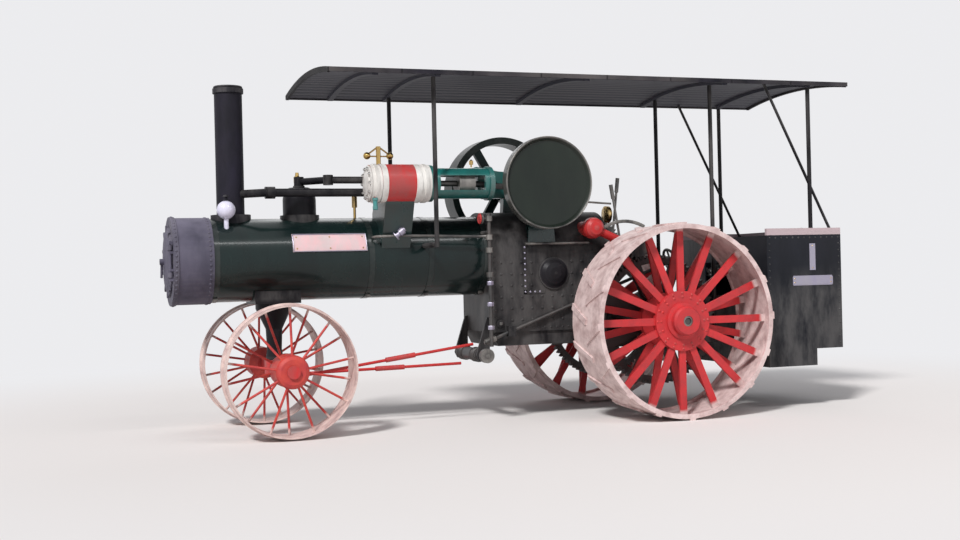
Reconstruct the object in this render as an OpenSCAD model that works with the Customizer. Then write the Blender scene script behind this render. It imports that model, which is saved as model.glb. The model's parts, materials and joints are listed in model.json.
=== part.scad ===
// Steam traction engine: return-free straight boiler, side-mounted single cylinder on the left,
// flywheel on the right, rear tank and bunker, long arched canopy.
// X runs forward, Y to the left, Z up. Stations along X are counted from the rear axle.

/* [Boiler] */
// Diameter of the lagged boiler barrel
boiler_d = 690; // [600:10:740]
// Height of the barrel's centre line above the ground
boiler_z = 1440; // [1420:5:1460]
// Length of the lagged barrel
barrel_l = 2350; // [2330:10:2360]
// Width of the lagging bands
band_w = 45; // [30:5:60]
// Thickness of the lagging bands
band_t = 4; // [3:1:6]

/* [Firebox] */
// Station of the rear face of the firebox
firebox_back_x = 330; // [325:5:345]
// Length of the firebox wrapper
firebox_l = 1140; // [1120:10:1145]
// Width of the firebox wrapper
firebox_w = 760; // [740:10:764]
// Height of the firebox foundation ring above the ground
firebox_base_z = 770; // [765:5:780]
// Height of the ashpan
ashpan_h = 120; // [90:10:160]
// How far the ashpan's lower edge is drawn in at each side
ashpan_inset = 60; // [40:10:90]
// Width of the fire hole
fire_hole_w = 420; // [340:10:440]
// Height of the fire hole
fire_hole_h = 320; // [280:10:340]
// Height of the middle of the fire hole
fire_hole_z = 1130; // [1110:10:1150]
// Depth of the fire hole that is modelled
fire_hole_depth = 260; // [200:20:320]
// Thickness of the fire door
fire_door_t = 20; // [14:1:24]

/* [Smokebox] */
// Diameter of the smokebox
smokebox_d = 716; // [700:4:740]
// Length of the smokebox
smokebox_l = 320; // [280:10:340]
// Thickness of the smokebox shell
smokebox_t = 12; // [8:1:16]
// Diameter of the smokebox door
smokebox_door_d = 560; // [500:10:600]
// Depth that the dished door stands out
smokebox_door_h = 46; // [36:2:60]

/* [Stack] */
// Distance of the stack's centre behind the front of the barrel
stack_back = 190; // [170:10:230]
// Outside diameter of the stack
stack_d = 230; // [200:5:250]
// Thickness of the stack
stack_t = 8; // [6:1:12]
// Height of the top of the stack above the ground
stack_top_z = 2890; // [2700:10:2950]

/* [Engine] */
// Diameter of the red cylinder jacket
cylinder_d = 320; // [290:5:330]
// Length of the cylinder between its bright covers
cylinder_l = 340; // [320:10:380]
// Length of each bright end cover
cover_l = 85; // [70:5:90]
// Distance of the cylinder's centre line from the middle of the machine
engine_y = 450; // [445:1:460]
// Height of the crankshaft above the ground
crank_z = 2050; // [2040:5:2070]
// Station of the crankshaft
crank_x = 990; // [980:5:1010]
// Station of the rear end of the cylinder
cylinder_rear_x = 2050; // [2040:5:2060]
// Radius at which the crank pin turns
crank_throw = 140; // [120:5:150]
// Radius of the plain crank disc
crank_disc_r = 215; // [205:5:225]
// Radius of the round sheet guard over the crank
crank_guard_r = 400; // [380:5:410]
// Diameter of the crankshaft
crankshaft_d = 90; // [80:2:100]
// Diameter of the flywheel
flywheel_d = 1016; // [960:4:1040]
// Width of the flywheel's face
flywheel_w = 240; // [200:10:250]

/* [Rear wheels] */
// Diameter of the rear wheels over the cleats
rear_wheel_d = 1676; // [1660:4:1690]
// Width of the rear wheels
rear_wheel_w = 547; // [520:1:560]
// Distance from the middle of the machine to a rear wheel's outer face
rear_wheel_y = 1168; // [1168:2:1200]
// Height of the cleats
cleat_h = 14; // [8:1:18]
// Width of a cleat
cleat_w = 52; // [40:2:60]
// Thickness of the rear rim
rear_rim_t = 14; // [10:1:18]
// Number of spokes in each of the two rows
rear_spokes = 16; // [12:2:18]
// Width of a rear spoke
rear_spoke_w = 62; // [50:2:70]
// Thickness of a rear spoke
rear_spoke_t = 22; // [16:2:28]
// Diameter of the rear axle
rear_axle_d = 110; // [100:2:120]

/* [Front wheels] */
// Wheelbase
wheelbase = 3291; // [3280:1:3300]
// Diameter of the front wheels over the guide rib
front_wheel_d = 1086; // [1070:2:1090]
// Width of the front wheels
front_wheel_w = 290; // [260:10:300]
// Distance from the middle of the machine to a front wheel's outer face
front_wheel_y = 774; // [774:2:800]
// Height of the guide rib round the middle of the front rim
guide_rib_h = 16; // [10:1:20]
// Thickness of the front rim
front_rim_t = 12; // [8:1:14]
// Number of spokes in each of the two rows
front_spokes = 9; // [7:1:11]
// Diameter of a front spoke
front_spoke_d = 20; // [16:1:24]
// Diameter of the front hub drum
front_hub_d = 270; // [230:5:280]
// Diameter of the front axle's journals
front_journal_d = 70; // [60:2:80]

/* [Gears] */
// Module of the bull gears
bull_module = 14; // [14:1:14]
// Teeth of a bull gear
bull_teeth = 80; // [80:1:80]
// Teeth of a bull pinion
pinion_teeth = 16; // [16:1:16]
// Width of the bull gears' teeth
bull_w = 66; // [50:2:66]
// Direction of the countershaft seen from the rear axle, above the forward line
counter_angle = 75; // [74:1:76]
// Diameter of the countershaft
counter_d = 76; // [70:2:80]
// Module of the first gear train
train_module = 12; // [12:1:12]
// Teeth of the crank pinion
crank_pinion_teeth = 18; // [18:1:18]
// Teeth of the intermediate gear
idler_teeth = 52; // [52:1:52]
// Teeth of the differential gear
diff_teeth = 52; // [52:1:52]
// Width of the first train's teeth
train_w = 60; // [50:2:60]

/* [Platform and tank] */
// Height of the platform's floor
floor_z = 700; // [690:5:705]
// Length of the platform from the firebox to the tank
platform_l = 1290; // [1280:5:1300]
// Width of the platform
platform_w = 1020; // [980:10:1040]
// Thickness of the platform's plates
plate_t = 10; // [8:1:14]
// Length of the rear tank
tank_l = 775; // [700:5:780]
// Width of the rear tank
tank_w = 1700; // [1600:10:1720]
// Height of the tank's top above the ground
tank_top_z = 1560; // [1540:10:1570]
// Height of the forward part of the tank's floor
tank_low_z = 380; // [370:10:400]
// Height of the rear part of the tank's floor
tank_high_z = 530; // [510:10:540]
// Length of the deep forward part of the tank
tank_deep_l = 500; // [460:10:520]
// Height of the pale boards on the tank
board_h = 60; // [50:5:70]
// Thickness of the pale boards
board_t = 30; // [20:2:36]

/* [Canopy] */
// Length of the canopy
canopy_l = 4840; // [4800:10:4860]
// Width of the canopy
canopy_w = 1720; // [1700:10:1800]
// Station of the canopy's front edge
canopy_front_x = 2976; // [2950:2:3000]
// Height of the eaves
eave_z = 2945; // [2900:5:2960]
// Rise of the roof from the eaves to the middle
canopy_rise = 75; // [60:5:100]
// Thickness of the roof boards
canopy_t = 22; // [14:2:26]
// Depth of the fascia at the eaves
fascia_h = 36; // [30:2:50]
// Diameter of the canopy's posts
post_d = 38; // [34:2:42]

/* [Hidden] */
$fn = 96;
// Radial running clearance of every shaft in its bore
run = 0.05;
// Gap between curved faces that meet
seat = 0.3;
// Gap between faces that pass each other
pass = 6;

boiler_r = boiler_d / 2;
barrel_back_x = firebox_back_x + firebox_l;
barrel_front_x = barrel_back_x + barrel_l;
firebox_r = firebox_w / 2;
smokebox_r = smokebox_d / 2;
smokebox_front_x = barrel_front_x + smokebox_l;
stack_x = barrel_front_x - stack_back;
crankshaft_r = crankshaft_d / 2;
cylinder_r = cylinder_d / 2;
cylinder_front_x = cylinder_rear_x + cylinder_l + 2 * cover_l;
saddle_back_x = cylinder_rear_x + 130;
saddle_front_x = cylinder_rear_x + 380;
panel_back_x = saddle_front_x + 123;
panel_front_x = barrel_front_x - 639;
panel_z0 = boiler_z + 55;
panel_z1 = boiler_z + 205;
pump_cover_x = firebox_back_x + 562;
pump_cover_z = boiler_z - 170;
side_bar_z = boiler_z + 90;

rear_r = rear_wheel_d / 2;
rear_rim_r = rear_r - cleat_h;
rear_inner_y = rear_wheel_y - rear_wheel_w;
front_r = front_wheel_d / 2;
front_rim_r = front_r - guide_rib_h;
front_inner_y = front_wheel_y - front_wheel_w;

bull_r = bull_module * bull_teeth / 2;
pinion_r = bull_module * pinion_teeth / 2;
bull_y0 = rear_inner_y - 10 - bull_w;
counter_x = (bull_r + pinion_r) * cos(counter_angle);
counter_z = rear_r + (bull_r + pinion_r) * sin(counter_angle);
counter_r = counter_d / 2;
crank_pinion_r = train_module * crank_pinion_teeth / 2;
idler_r = train_module * idler_teeth / 2;
diff_r = train_module * diff_teeth / 2;
train_y0 = firebox_r + 5;
train_y1 = train_y0 + train_w;
arm_y0 = train_y1 + 8;
arm_y1 = bull_y0 - 8;
arm_d = arm_y1 - arm_y0 - 10;
arm_y = (arm_y0 + arm_y1) / 2;
flywheel_y0 = bull_y0 + 3;
// The intermediate gear's place follows from its two neighbours
link_a = crank_pinion_r + idler_r;
link_b = idler_r + diff_r;
link_c = norm([counter_x - crank_x, counter_z - crank_z]);
link_angle = atan2(counter_z - crank_z, counter_x - crank_x)
    + acos((link_a * link_a + link_c * link_c - link_b * link_b) / (2 * link_a * link_c));
idler_x = crank_x + link_a * cos(link_angle);
idler_z = crank_z + link_a * sin(link_angle);
// Boss of the left arm on the firebox side
boss_x = 552;
boss_z = 1656;
boss_r = 92;

// Crank parts from the girder outwards
girder_y0 = 290;
girder_y1 = 370;
crank_disc_y0 = girder_y1 + 10;
crank_disc_y1 = crank_disc_y0 + 34;
rod_half = 32;
rod_y0 = engine_y - rod_half;
rod_y1 = engine_y + rod_half;
crank_pin_angle = 210;
crank_pin_x = crank_x + crank_throw * cos(crank_pin_angle);
crank_pin_z = crank_z + crank_throw * sin(crank_pin_angle);
crosshead_x = cylinder_rear_x - 330;
guard_y0 = rod_y1 + 12;
guard_y1 = guard_y0 + 60;

// Steering
pivot_x = wheelbase - 100;
pivot_y = 170;
pivot_z = 455;
roller_x = barrel_back_x + 70;
roller_z = 574;
roller_r = 55;
steer_rod_d = 26;
rod_rise = 0.131;
steer_shaft_y = firebox_r + 30;
hand_wheel_x = -250;
hand_wheel_z = 1350;
steer_low_x = roller_x + 20;
steer_low_z = 686;
steer_shaft_d = 30;
hand_wheel_r = 125;

axle_beam = 90;
front_journal_r = front_journal_d / 2;
kingpin_r = 30;

platform_back_x = firebox_back_x - platform_l - 20;
tank_front_x = platform_back_x;
tank_back_x = tank_front_x - tank_l;
rail_t = 30;
drawbar_tail = 145;
post_r = post_d / 2;
front_post_y = cylinder_r + engine_y + 70;
mid_post_y = platform_w / 2 + seat + post_r;
rear_post_y = tank_w / 2 - 60;
front_post_x = cylinder_rear_x;
mid_post_x = -620;
rear_post_x = tank_back_x + 275;
rib_h = 34;
smoke_hinge_y = smokebox_door_d / 2 + 20;
fire_hinge_y = fire_hole_w / 2 + 28;
hinge_pin_d = 16;
lid_x = tank_front_x - 560;
lid_y = tank_w / 2 - 230;

front_end = smokebox_front_x + smokebox_door_h + 30;
rear_end = tank_back_x - drawbar_tail;
frame_x = -(front_end + rear_end) / 2;

module placed() translate([frame_x, 0, 0]) children();
// Round bar along X from x0 to x1 at height z and side y
module along_x(d, x0, x1, y, z) translate([x0, y, z]) rotate([0, 90, 0]) cylinder(d = d, h = x1 - x0);
// Round bar along Y from y0 to y1 at x and z
module along_y(d, x, z, y0, y1) translate([x, y1, z]) rotate([90, 0, 0]) cylinder(d = d, h = y1 - y0);
// Round bar along Z from z0 to z1
module along_z(d, x, y, z0, z1) translate([x, y, z0]) cylinder(d = d, h = z1 - z0);
// Box between two corners
module block(a, b) translate(a) cube(b - a);
// Round bar from p to q
module bar(p, q, d) {
    v = q - p;
    l = norm(v);
    translate(p) rotate([0, acos(v[2] / l), atan2(v[1], v[0])]) cylinder(d = d, h = l);
}
// Outline in the XZ plane given as points, solid from y0 to y1
module side_plate(points, y0, y1) translate([0, y1, 0]) rotate([90, 0, 0])
    linear_extrude(height = y1 - y0) polygon(points);
// Outline in the YZ plane, solid from x0 to x1
module end_plate(x0, x1) translate([x0, 0, 0]) rotate([90, 0, 90]) linear_extrude(height = x1 - x0) children();
module boiler_space(gap) along_x(boiler_d + 2 * gap, barrel_back_x, smokebox_front_x, 0, boiler_z);
module firebox_outline(gap) {
    translate([0, boiler_z]) circle(r = firebox_r + gap);
    translate([-firebox_r - gap, firebox_base_z - gap]) square([firebox_w + 2 * gap, boiler_z - firebox_base_z + gap]);
}
module firebox_space(gap) end_plate(firebox_back_x - gap, barrel_back_x + gap) firebox_outline(gap);
module both_sides() {
    children();
    mirror([0, 1, 0]) children();
}
// Toothed outline of n teeth with one tooth centred on the angle turn
module gear_outline(n, m, turn) {
    pitch_r = m * n / 2;
    step = 360 / n;
    polygon([for (i = [0 : n - 1]) for (p = [[-0.31, -1.15], [-0.19, 0], [-0.10, 0.85], [0.10, 0.85], [0.19, 0],
        [0.31, -1.15]]) (pitch_r + p[1] * m) * [cos(turn + (i + p[0]) * step), sin(turn + (i + p[0]) * step)]]);
}
// Turn of a gear of n2 teeth that meshes, in direction phi, with one of n1 teeth turned by a
function meshed(n1, a, n2, phi) = phi + 180 + (180 - (a - phi) * n1) / n2;
// Gear about the Y axis at x and z, drawn in the XZ plane
module gear_y(n, m, turn, x, z, y0, y1) translate([x, y1, z]) rotate([90, 0, 0])
    linear_extrude(height = y1 - y0) gear_outline(n, m, turn);
bull_turn = 0;
pinion_turn = meshed(bull_teeth, bull_turn, pinion_teeth, counter_angle);
diff_turn = 0;
idler_turn = meshed(diff_teeth, diff_turn, idler_teeth, atan2(idler_z - counter_z, idler_x - counter_x));
crank_turn = meshed(idler_teeth, idler_turn, crank_pinion_teeth, link_angle + 180);

module boiler() color("#16211f") placed() {
    along_x(boiler_d, barrel_back_x, barrel_front_x, 0, boiler_z);
    for (x = [barrel_back_x, barrel_back_x + 500, barrel_front_x - 1330, barrel_front_x - band_w])
        along_x(boiler_d + 2 * band_t, x, x + band_w, 0, boiler_z);
}
module smokebox() color("#4a4552") placed() difference() {
    union() {
        along_x(smokebox_d, barrel_front_x, smokebox_front_x, 0, boiler_z);
        along_x(smokebox_d + 16, smokebox_front_x - 40, smokebox_front_x, 0, boiler_z);
    }
    along_x(smokebox_d - 2 * smokebox_t, barrel_front_x + 10, smokebox_front_x - smokebox_t, 0, boiler_z);
    along_x(smokebox_door_d - 50, smokebox_front_x - 20, smokebox_front_x + 10, 0, boiler_z);
}
// Lugs and pin of the smokebox door's hinge
module smokebox_hinge() color("#3c3842") placed() {
    for (z = [-148, -70, 70, 148]) block([smokebox_front_x - 5, smoke_hinge_y - 12, boiler_z + z - 10],
        [smokebox_front_x + 30, smoke_hinge_y + 12, boiler_z + z + 10]);
    along_z(hinge_pin_d, smokebox_front_x + 22, smoke_hinge_y, boiler_z - 162, boiler_z + 162);
}
module smokebox_door() color("#3c3842") placed() {
    translate([smokebox_front_x + seat, 0, boiler_z]) rotate([0, 90, 0]) rotate_extrude()
        polygon([[0, 0], [smokebox_door_d / 2, 0], [smokebox_door_d / 2, 14],
            [smokebox_door_d / 2 - 60, 30], [0, smokebox_door_h]]);
    // centre dart and its handle
    along_x(50, smokebox_front_x + smokebox_door_h - 6, smokebox_front_x + smokebox_door_h + 30, 0, boiler_z);
    bar([smokebox_front_x + smokebox_door_h + 14, 0, boiler_z],
        [smokebox_front_x + smokebox_door_h + 14, -40, boiler_z - 130], 20);
    // hinge straps and knuckle on the left
    for (z = [-110, 110]) difference() {
        union() {
            block([smokebox_front_x + 10, smokebox_door_d / 2 - 110, boiler_z + z - 20],
                [smokebox_front_x + 34, smoke_hinge_y, boiler_z + z + 20]);
            along_z(34, smokebox_front_x + 22, smoke_hinge_y, boiler_z + z - 20, boiler_z + z + 20);
        }
        along_z(hinge_pin_d + 2 * run, smokebox_front_x + 22, smoke_hinge_y, boiler_z - 200, boiler_z + 200);
    }
}
module stack() color("#101012") placed() difference() {
    union() {
        along_z(stack_d, stack_x, 0, boiler_z, stack_top_z);
        along_z(stack_d + 100, stack_x, 0, boiler_z, boiler_z + boiler_r + 34);
        along_z(stack_d + 24, stack_x, 0, stack_top_z - 60, stack_top_z - 20);
    }
    boiler_space(seat);
    along_x(boiler_d + 2 * (band_t + seat), barrel_front_x - band_w - seat, barrel_front_x + seat, 0, boiler_z);
    along_z(stack_d - 2 * stack_t, stack_x, 0, boiler_z, stack_top_z + 1);
}
module steam_dome() color("#101012") placed() difference() {
    translate([barrel_front_x - 770, 0, 0]) {
        along_z(330, 0, 0, boiler_z, boiler_z + boiler_r + 26);
        along_z(280, 0, 0, boiler_z, boiler_z + boiler_r + 150);
        translate([0, 0, boiler_z + boiler_r + 150]) intersection() {
            scale(1) sphere(d = 280);
            cylinder(r = 150, h = 110);
        }
    }
    boiler_space(seat);
}
module whistle() color("#b08d3c") placed() difference() {
    union() {
        along_z(24, barrel_front_x - 1250, 0, boiler_z + 300, boiler_z + boiler_r + 90);
        along_z(46, barrel_front_x - 1250, 0, boiler_z + boiler_r + 90, boiler_z + boiler_r + 230);
    }
    boiler_space(seat);
}
module firebox() color("#16191b") placed() difference() {
    union() {
        end_plate(firebox_back_x, barrel_back_x) firebox_outline(0);
        // raised ring of the fire hole
        block([firebox_back_x - 12, -fire_hole_w / 2 - 30, fire_hole_z - fire_hole_h / 2 - 30],
            [firebox_back_x + 5, fire_hole_w / 2 + 30, fire_hole_z + fire_hole_h / 2 + 30]);
    }
    block([firebox_back_x - 20, -fire_hole_w / 2, fire_hole_z - fire_hole_h / 2],
        [firebox_back_x + fire_hole_depth, fire_hole_w / 2, fire_hole_z + fire_hole_h / 2]);
}
// Lugs and pin of the fire door's hinge
module fire_hinge() color("#16191b") placed() {
    for (z = [-134, -44, 44, 134]) block([firebox_back_x - 34, fire_hinge_y - 7, fire_hole_z + z - 8],
        [firebox_back_x + 1, fire_hinge_y + 7, fire_hole_z + z + 8]);
    along_z(10, firebox_back_x - 27, fire_hinge_y, fire_hole_z - 146, fire_hole_z + 146);
}
module ashpan() color("#141414") placed() difference() {
    side_plate([[firebox_back_x, firebox_base_z], [firebox_back_x + ashpan_inset, firebox_base_z - ashpan_h],
        [barrel_back_x - ashpan_inset, firebox_base_z - ashpan_h], [barrel_back_x, firebox_base_z]],
        -firebox_r + 20, firebox_r - 20);
    block([firebox_back_x + 100, -firebox_r + 30, firebox_base_z - ashpan_h + 10],
        [barrel_back_x - 100, firebox_r - 30, firebox_base_z + 1]);
}
module fire_door() color("#1b1b1d") placed() {
    block([firebox_back_x - 12 - seat - fire_door_t, -fire_hole_w / 2 - 15, fire_hole_z - fire_hole_h / 2 - 15],
        [firebox_back_x - 12 - seat, fire_hole_w / 2 + 15, fire_hole_z + fire_hole_h / 2 + 15]);
    for (z = [-90, 90]) difference() {
        union() {
            along_z(26, firebox_back_x - 27, fire_hinge_y, fire_hole_z + z - 30, fire_hole_z + z + 30);
            block([firebox_back_x - 37, fire_hole_w / 2 - 5, fire_hole_z + z - 25],
                [firebox_back_x - 18, fire_hinge_y, fire_hole_z + z + 25]);
        }
        along_z(10 + 2 * run, firebox_back_x - 27, fire_hinge_y, fire_hole_z - 200, fire_hole_z + 200);
    }
    along_y(18, firebox_back_x - 60, fire_hole_z, -150, -110);
    along_x(18, firebox_back_x - 60, firebox_back_x - 20, -130, fire_hole_z);
}
module engine_cylinder() placed() {
    color("#c8301c") along_x(cylinder_d, cylinder_rear_x + cover_l, cylinder_rear_x + cover_l + cylinder_l,
        engine_y, crank_z);
    color("#e8e6e0") for (x = [cylinder_rear_x, cylinder_rear_x + cover_l + cylinder_l]) {
        along_x(cylinder_d - 14, x, x + cover_l, engine_y, crank_z);
        along_x(cylinder_d + 4, x + cover_l / 2 - 14, x + cover_l / 2 + 14, engine_y, crank_z);
    }
    // steam chest on the inner side
    color("#1d3b33") block([cylinder_rear_x + 60, engine_y - cylinder_r - 110, crank_z - 110],
        [cylinder_front_x - 60, engine_y - cylinder_r + 60, crank_z + 90]);
    // small teal drain and oil fittings under the front cover
    color("#2f8f86") along_z(36, cylinder_front_x - 30, engine_y + 90, crank_z - cylinder_r - 60,
        crank_z - 80);
}
module engine_frame() color("#1f6a5c") placed() difference() {
    union() {
        // saddle from the barrel up to the cylinder
        end_plate(saddle_back_x, saddle_front_x)
            polygon([[60, boiler_z + 200], [330, boiler_z + 60], [engine_y + 60, crank_z - 130],
                [engine_y + 60, crank_z - 90], [150, crank_z - 112], [60, boiler_z + boiler_r + 30]]);
        // bored guide behind the cylinder
        along_x(260, cylinder_rear_x - 560, cylinder_rear_x - seat, engine_y, crank_z);
        along_x(310, cylinder_rear_x - 30, cylinder_rear_x - seat, engine_y, crank_z);
        along_x(290, cylinder_rear_x - 560, cylinder_rear_x - 520, engine_y, crank_z);
        // girder to the main bearing, with the oil cup's hump
        side_plate([[crank_x, crank_z - 110], [cylinder_rear_x - 540, crank_z - 125],
            [cylinder_rear_x - 400, crank_z - 70], [cylinder_rear_x - 400, crank_z + 100],
            [cylinder_rear_x - 560, crank_z + 118], [crank_x + 160, crank_z + 95], [crank_x, crank_z + 110]],
            girder_y0, girder_y1);
        // bearing pillars on the firebox wrapper, left and right
        both_sides() {
            side_plate([[crank_x - 130, boiler_z + 90], [crank_x + 130, boiler_z + 90],
                [crank_x + 90, crank_z], [crank_x - 90, crank_z]], girder_y0, girder_y1);
            along_y(230, crank_x, crank_z, girder_y0, girder_y1);
        }
        // top edge of the guide, bright with wear
        side_plate([[crank_x + 300, crank_z + 60], [cylinder_rear_x - 560, crank_z + 96],
            [cylinder_rear_x - seat, crank_z + 96], [cylinder_rear_x - seat, crank_z + 132],
            [cylinder_rear_x - 420, crank_z + 132], [cylinder_rear_x - 470, crank_z + 150],
            [crank_x + 300, crank_z + 92]], girder_y1 - 30, girder_y1);
    }
    along_x(190, cylinder_rear_x - 600, cylinder_rear_x + 1, engine_y, crank_z);
    block([cylinder_rear_x - 480, engine_y - 200, crank_z - 62], [cylinder_rear_x - 80, engine_y + 200, crank_z + 62]);
    boiler_space(seat);
    firebox_space(seat);
    along_x(cylinder_d + 2 * seat, cylinder_rear_x, cylinder_front_x, engine_y, crank_z);
    block([cylinder_rear_x + 60 - seat, engine_y - cylinder_r - 110 - seat, crank_z - 110 - seat],
        [cylinder_front_x - 60, engine_y - cylinder_r + 61, crank_z + 91]);
    along_y(crankshaft_d + 2 * run, crank_x, crank_z, -girder_y1 - 1, girder_y1 + 1);
}
module connecting_rod() color("#8f9294") placed() {
    // crosshead and piston rod
    along_x(190 - 2 * seat, crosshead_x - 70, crosshead_x + 70, engine_y, crank_z);
    along_x(50, crosshead_x + 60, cylinder_rear_x - seat, engine_y, crank_z);
    // rod, big end and the pin that stops short of the plain disc
    bar([crosshead_x - 50, engine_y, crank_z], [crank_pin_x, engine_y, crank_pin_z], 52);
    along_y(120, crank_pin_x, crank_pin_z, crank_disc_y1 + pass, rod_y1 - 4);
    along_y(60, crank_pin_x, crank_pin_z, crank_disc_y1 + pass, rod_y1 + 4);
}
module crank_guard() color("#1c2b26") placed() {
    difference() {
        along_y(2 * crank_guard_r, crank_x, crank_z, guard_y0, guard_y1);
        along_y(2 * crank_guard_r - 8, crank_x, crank_z, guard_y0 - 1, guard_y1 - 4);
    }
    // three stays from the girder and the pillar
    for (p = [[crank_x + 330, crank_z + 78], [crank_x + 330, crank_z - 98], [crank_x, crank_z - 310]])
        along_y(24, p[0], p[1], girder_y1, guard_y1 - 2);
}
module crankshaft() color("#8a8d90") placed() {
    along_y(crankshaft_d, crank_x, crank_z, -flywheel_y0 - flywheel_w - 30, crank_disc_y0 + 1);
    along_y(2 * crank_disc_r, crank_x, crank_z, crank_disc_y0, crank_disc_y1);
    difference() {
        gear_y(crank_pinion_teeth, train_module, crank_turn, crank_x, crank_z, -train_y1, -train_y0);
        along_y(crankshaft_d - 2, crank_x, crank_z, -train_y1 - 1, -train_y0 + 1);
    }
}
module flywheel() color("#17241f") placed() translate([crank_x, -flywheel_y0, crank_z]) rotate([90, 0, 0])
    difference() {
        union() {
            rotate_extrude() polygon([[flywheel_d / 2 - 62, 0], [flywheel_d / 2, 0],
                [flywheel_d / 2, flywheel_w], [flywheel_d / 2 - 62, flywheel_w]]);
            cylinder(d = 190, h = flywheel_w);
            for (i = [0 : 5]) rotate([0, 0, i * 60]) translate([80, -38, flywheel_w / 2 - 24])
                cube([flywheel_d / 2 - 62 - 70, 76, 48]);
        }
        translate([0, 0, -1]) cylinder(d = crankshaft_d + 2 * run, h = flywheel_w + 2);
    }
module governor() color("#1f6a5c") placed() translate([cylinder_front_x - 150, engine_y - cylinder_r - 60, 0]) {
    base_z = crank_z + 90;
    cylinder_z = base_z + 150;
    translate([0, 0, base_z + seat]) cylinder(d = 90, h = 60);
    translate([0, 0, base_z + 50]) cylinder(d = 40, h = 190);
    translate([0, 0, cylinder_z]) {
        for (a = [0, 180]) rotate([0, 0, a]) {
            bar([12, 0, 80], [95, 0, 20], 14);
            translate([100, 0, 10]) sphere(d = 62);
            bar([16, 0, 6], [95, 0, 6], 12);
        }
    }
}
module steam_pipe() color("#16211f") placed() {
    x0 = barrel_front_x - 770;
    y1 = engine_y - cylinder_r - 60;
    z1 = boiler_z + boiler_r + 260;
    z2 = crank_z + 45;
    // from the top of the dome to the steam chest's front
    along_z(100, x0, 0, z1 + seat, z1 + 16);
    along_z(84, x0, 0, z1 + 15, z2 + 42);
    bar([x0, 0, z2], [x0 - 200, y1, z2], 60);
    along_z(84, x0 - 200, y1, z2 - 42, z2 + 42);
    along_x(60, cylinder_front_x - 60 + seat, x0 - 200, y1, z2);
}
module exhaust_pipe() color("#16211f") placed() {
    y0 = engine_y - cylinder_r - 60;
    z0 = crank_z - 60;
    turn_x = stack_x - y0;
    along_x(70, cylinder_front_x - 60 + seat, turn_x - 20, y0, z0);
    along_x(100, turn_x - 100, turn_x - 20, y0, z0);
    difference() {
        bar([turn_x - 50, y0 + 30, z0], [stack_x, -20, z0], 68);
        along_x(400, turn_x - 500, turn_x - 60, y0, z0);
        along_z(stack_d + 2 * seat, stack_x, 0, z0 - 60, z0 + 60);
        block([stack_x, -200, z0 - 60], [stack_x + 200, 200, z0 + 60]);
    }
}
module feed_pipe() color("#3c4146") placed() {
    x = barrel_back_x + 45;
    y = firebox_r + 90;
    along_z(34, x, y, pivot_z + 200, boiler_z + 350);
    for (z = [boiler_z - 170, boiler_z + 40, boiler_z + 150, boiler_z + 310])
        along_z(60, x, y, z - 22, z + 22);
    difference() {
        along_y(34, x, boiler_z + 190, 0, y);
        boiler_space(band_t + seat);
    }
    along_x(26, x, x + 70, y, boiler_z + 310);
    along_x(90, x + 60, x + 72, y, boiler_z + 310);
}
module feed_pump_cover() color("#22262a") placed()
    translate([pump_cover_x, firebox_r + seat, pump_cover_z]) rotate([-90, 0, 0]) rotate_extrude()
        polygon([[0, 0], [140, 0], [140, 16], [118, 24], [90, 48], [50, 62], [0, 66]]);
module side_bar() color("#2b2f33") placed() {
    y = firebox_r + 46;
    along_x(24, firebox_back_x + 235, firebox_back_x + 838, y, side_bar_z);
    for (x = [firebox_back_x + 262, firebox_back_x + 810]) difference() {
        along_y(20, x, side_bar_z, 300, y);
        firebox_space(seat);
    }
}
module name_panel() color("#d8b9b2") placed() difference() {
    intersection() {
        along_x(boiler_d + 2 * (seat + 4), panel_back_x - 10, panel_front_x + 10, 0, boiler_z);
        block([panel_back_x, 100, panel_z0], [panel_front_x, boiler_r + 20, panel_z1]);
    }
    boiler_space(seat);
}
module headlamp() color("#e9e6df") placed() difference() {
    union() {
        translate([stack_x + 70, 215, boiler_z + 411]) sphere(d = 152);
        along_z(40, stack_x + 70, 215, boiler_z + 200, boiler_z + 350);
    }
    boiler_space(seat);
    along_z(stack_d + 100 + 2 * seat, stack_x, 0, boiler_z, boiler_z + boiler_r + 34 + seat);
}
module front_pedestal() color("#16191b") placed() difference() {
    union() {
        translate([wheelbase, 0, axle_beam / 2 + front_r + 12]) rotate_extrude()
            polygon([[0, 0], [75, 0], [62, 90], [70, 260], [150, 430], [150, 700], [0, 700]]);
        block([wheelbase - 190, -230, boiler_z - boiler_r - 20], [wheelbase + 190, 230, boiler_z - 200]);
        along_z(2 * kingpin_r, wheelbase, 0, front_r - 75, front_r + axle_beam);
        along_z(100, wheelbase, 0, front_r - 82, front_r - 64);
    }
    boiler_space(seat);
    along_x(smokebox_d + 16 + 2 * seat, barrel_front_x - seat, smokebox_front_x + 60, 0, boiler_z);
    block([wheelbase - 300, -300, boiler_z], [wheelbase + 300, 300, boiler_z + 800]);
}
module front_axle() color("#9c2619") placed() difference() {
    union() {
        block([wheelbase - axle_beam / 2, -front_inner_y + 100, front_r - axle_beam / 2],
            [wheelbase + axle_beam / 2, front_inner_y - 100, front_r + axle_beam / 2]);
        along_z(170, wheelbase, 0, front_r - 62, front_r + axle_beam / 2 + 11);
        both_sides() {
            along_y(front_journal_d, wheelbase, front_r, front_inner_y - 110, front_wheel_y + 30);
            along_y(front_journal_d + 34, wheelbase, front_r, front_wheel_y + 30 - 4, front_wheel_y + 42);
            // lug and pin that take the steering rod
            block([pivot_x - 30, pivot_y - 30, front_r - axle_beam / 2],
                [wheelbase, pivot_y + 30, front_r - axle_beam / 2 + 26]);
            along_z(24, pivot_x, pivot_y, pivot_z - 30, front_r - 30);
            along_z(44, pivot_x, pivot_y, pivot_z - 40, pivot_z - 25);
        }
    }
    along_z(2 * (kingpin_r + run), wheelbase, 0, 0, 2 * front_r);
}
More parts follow.
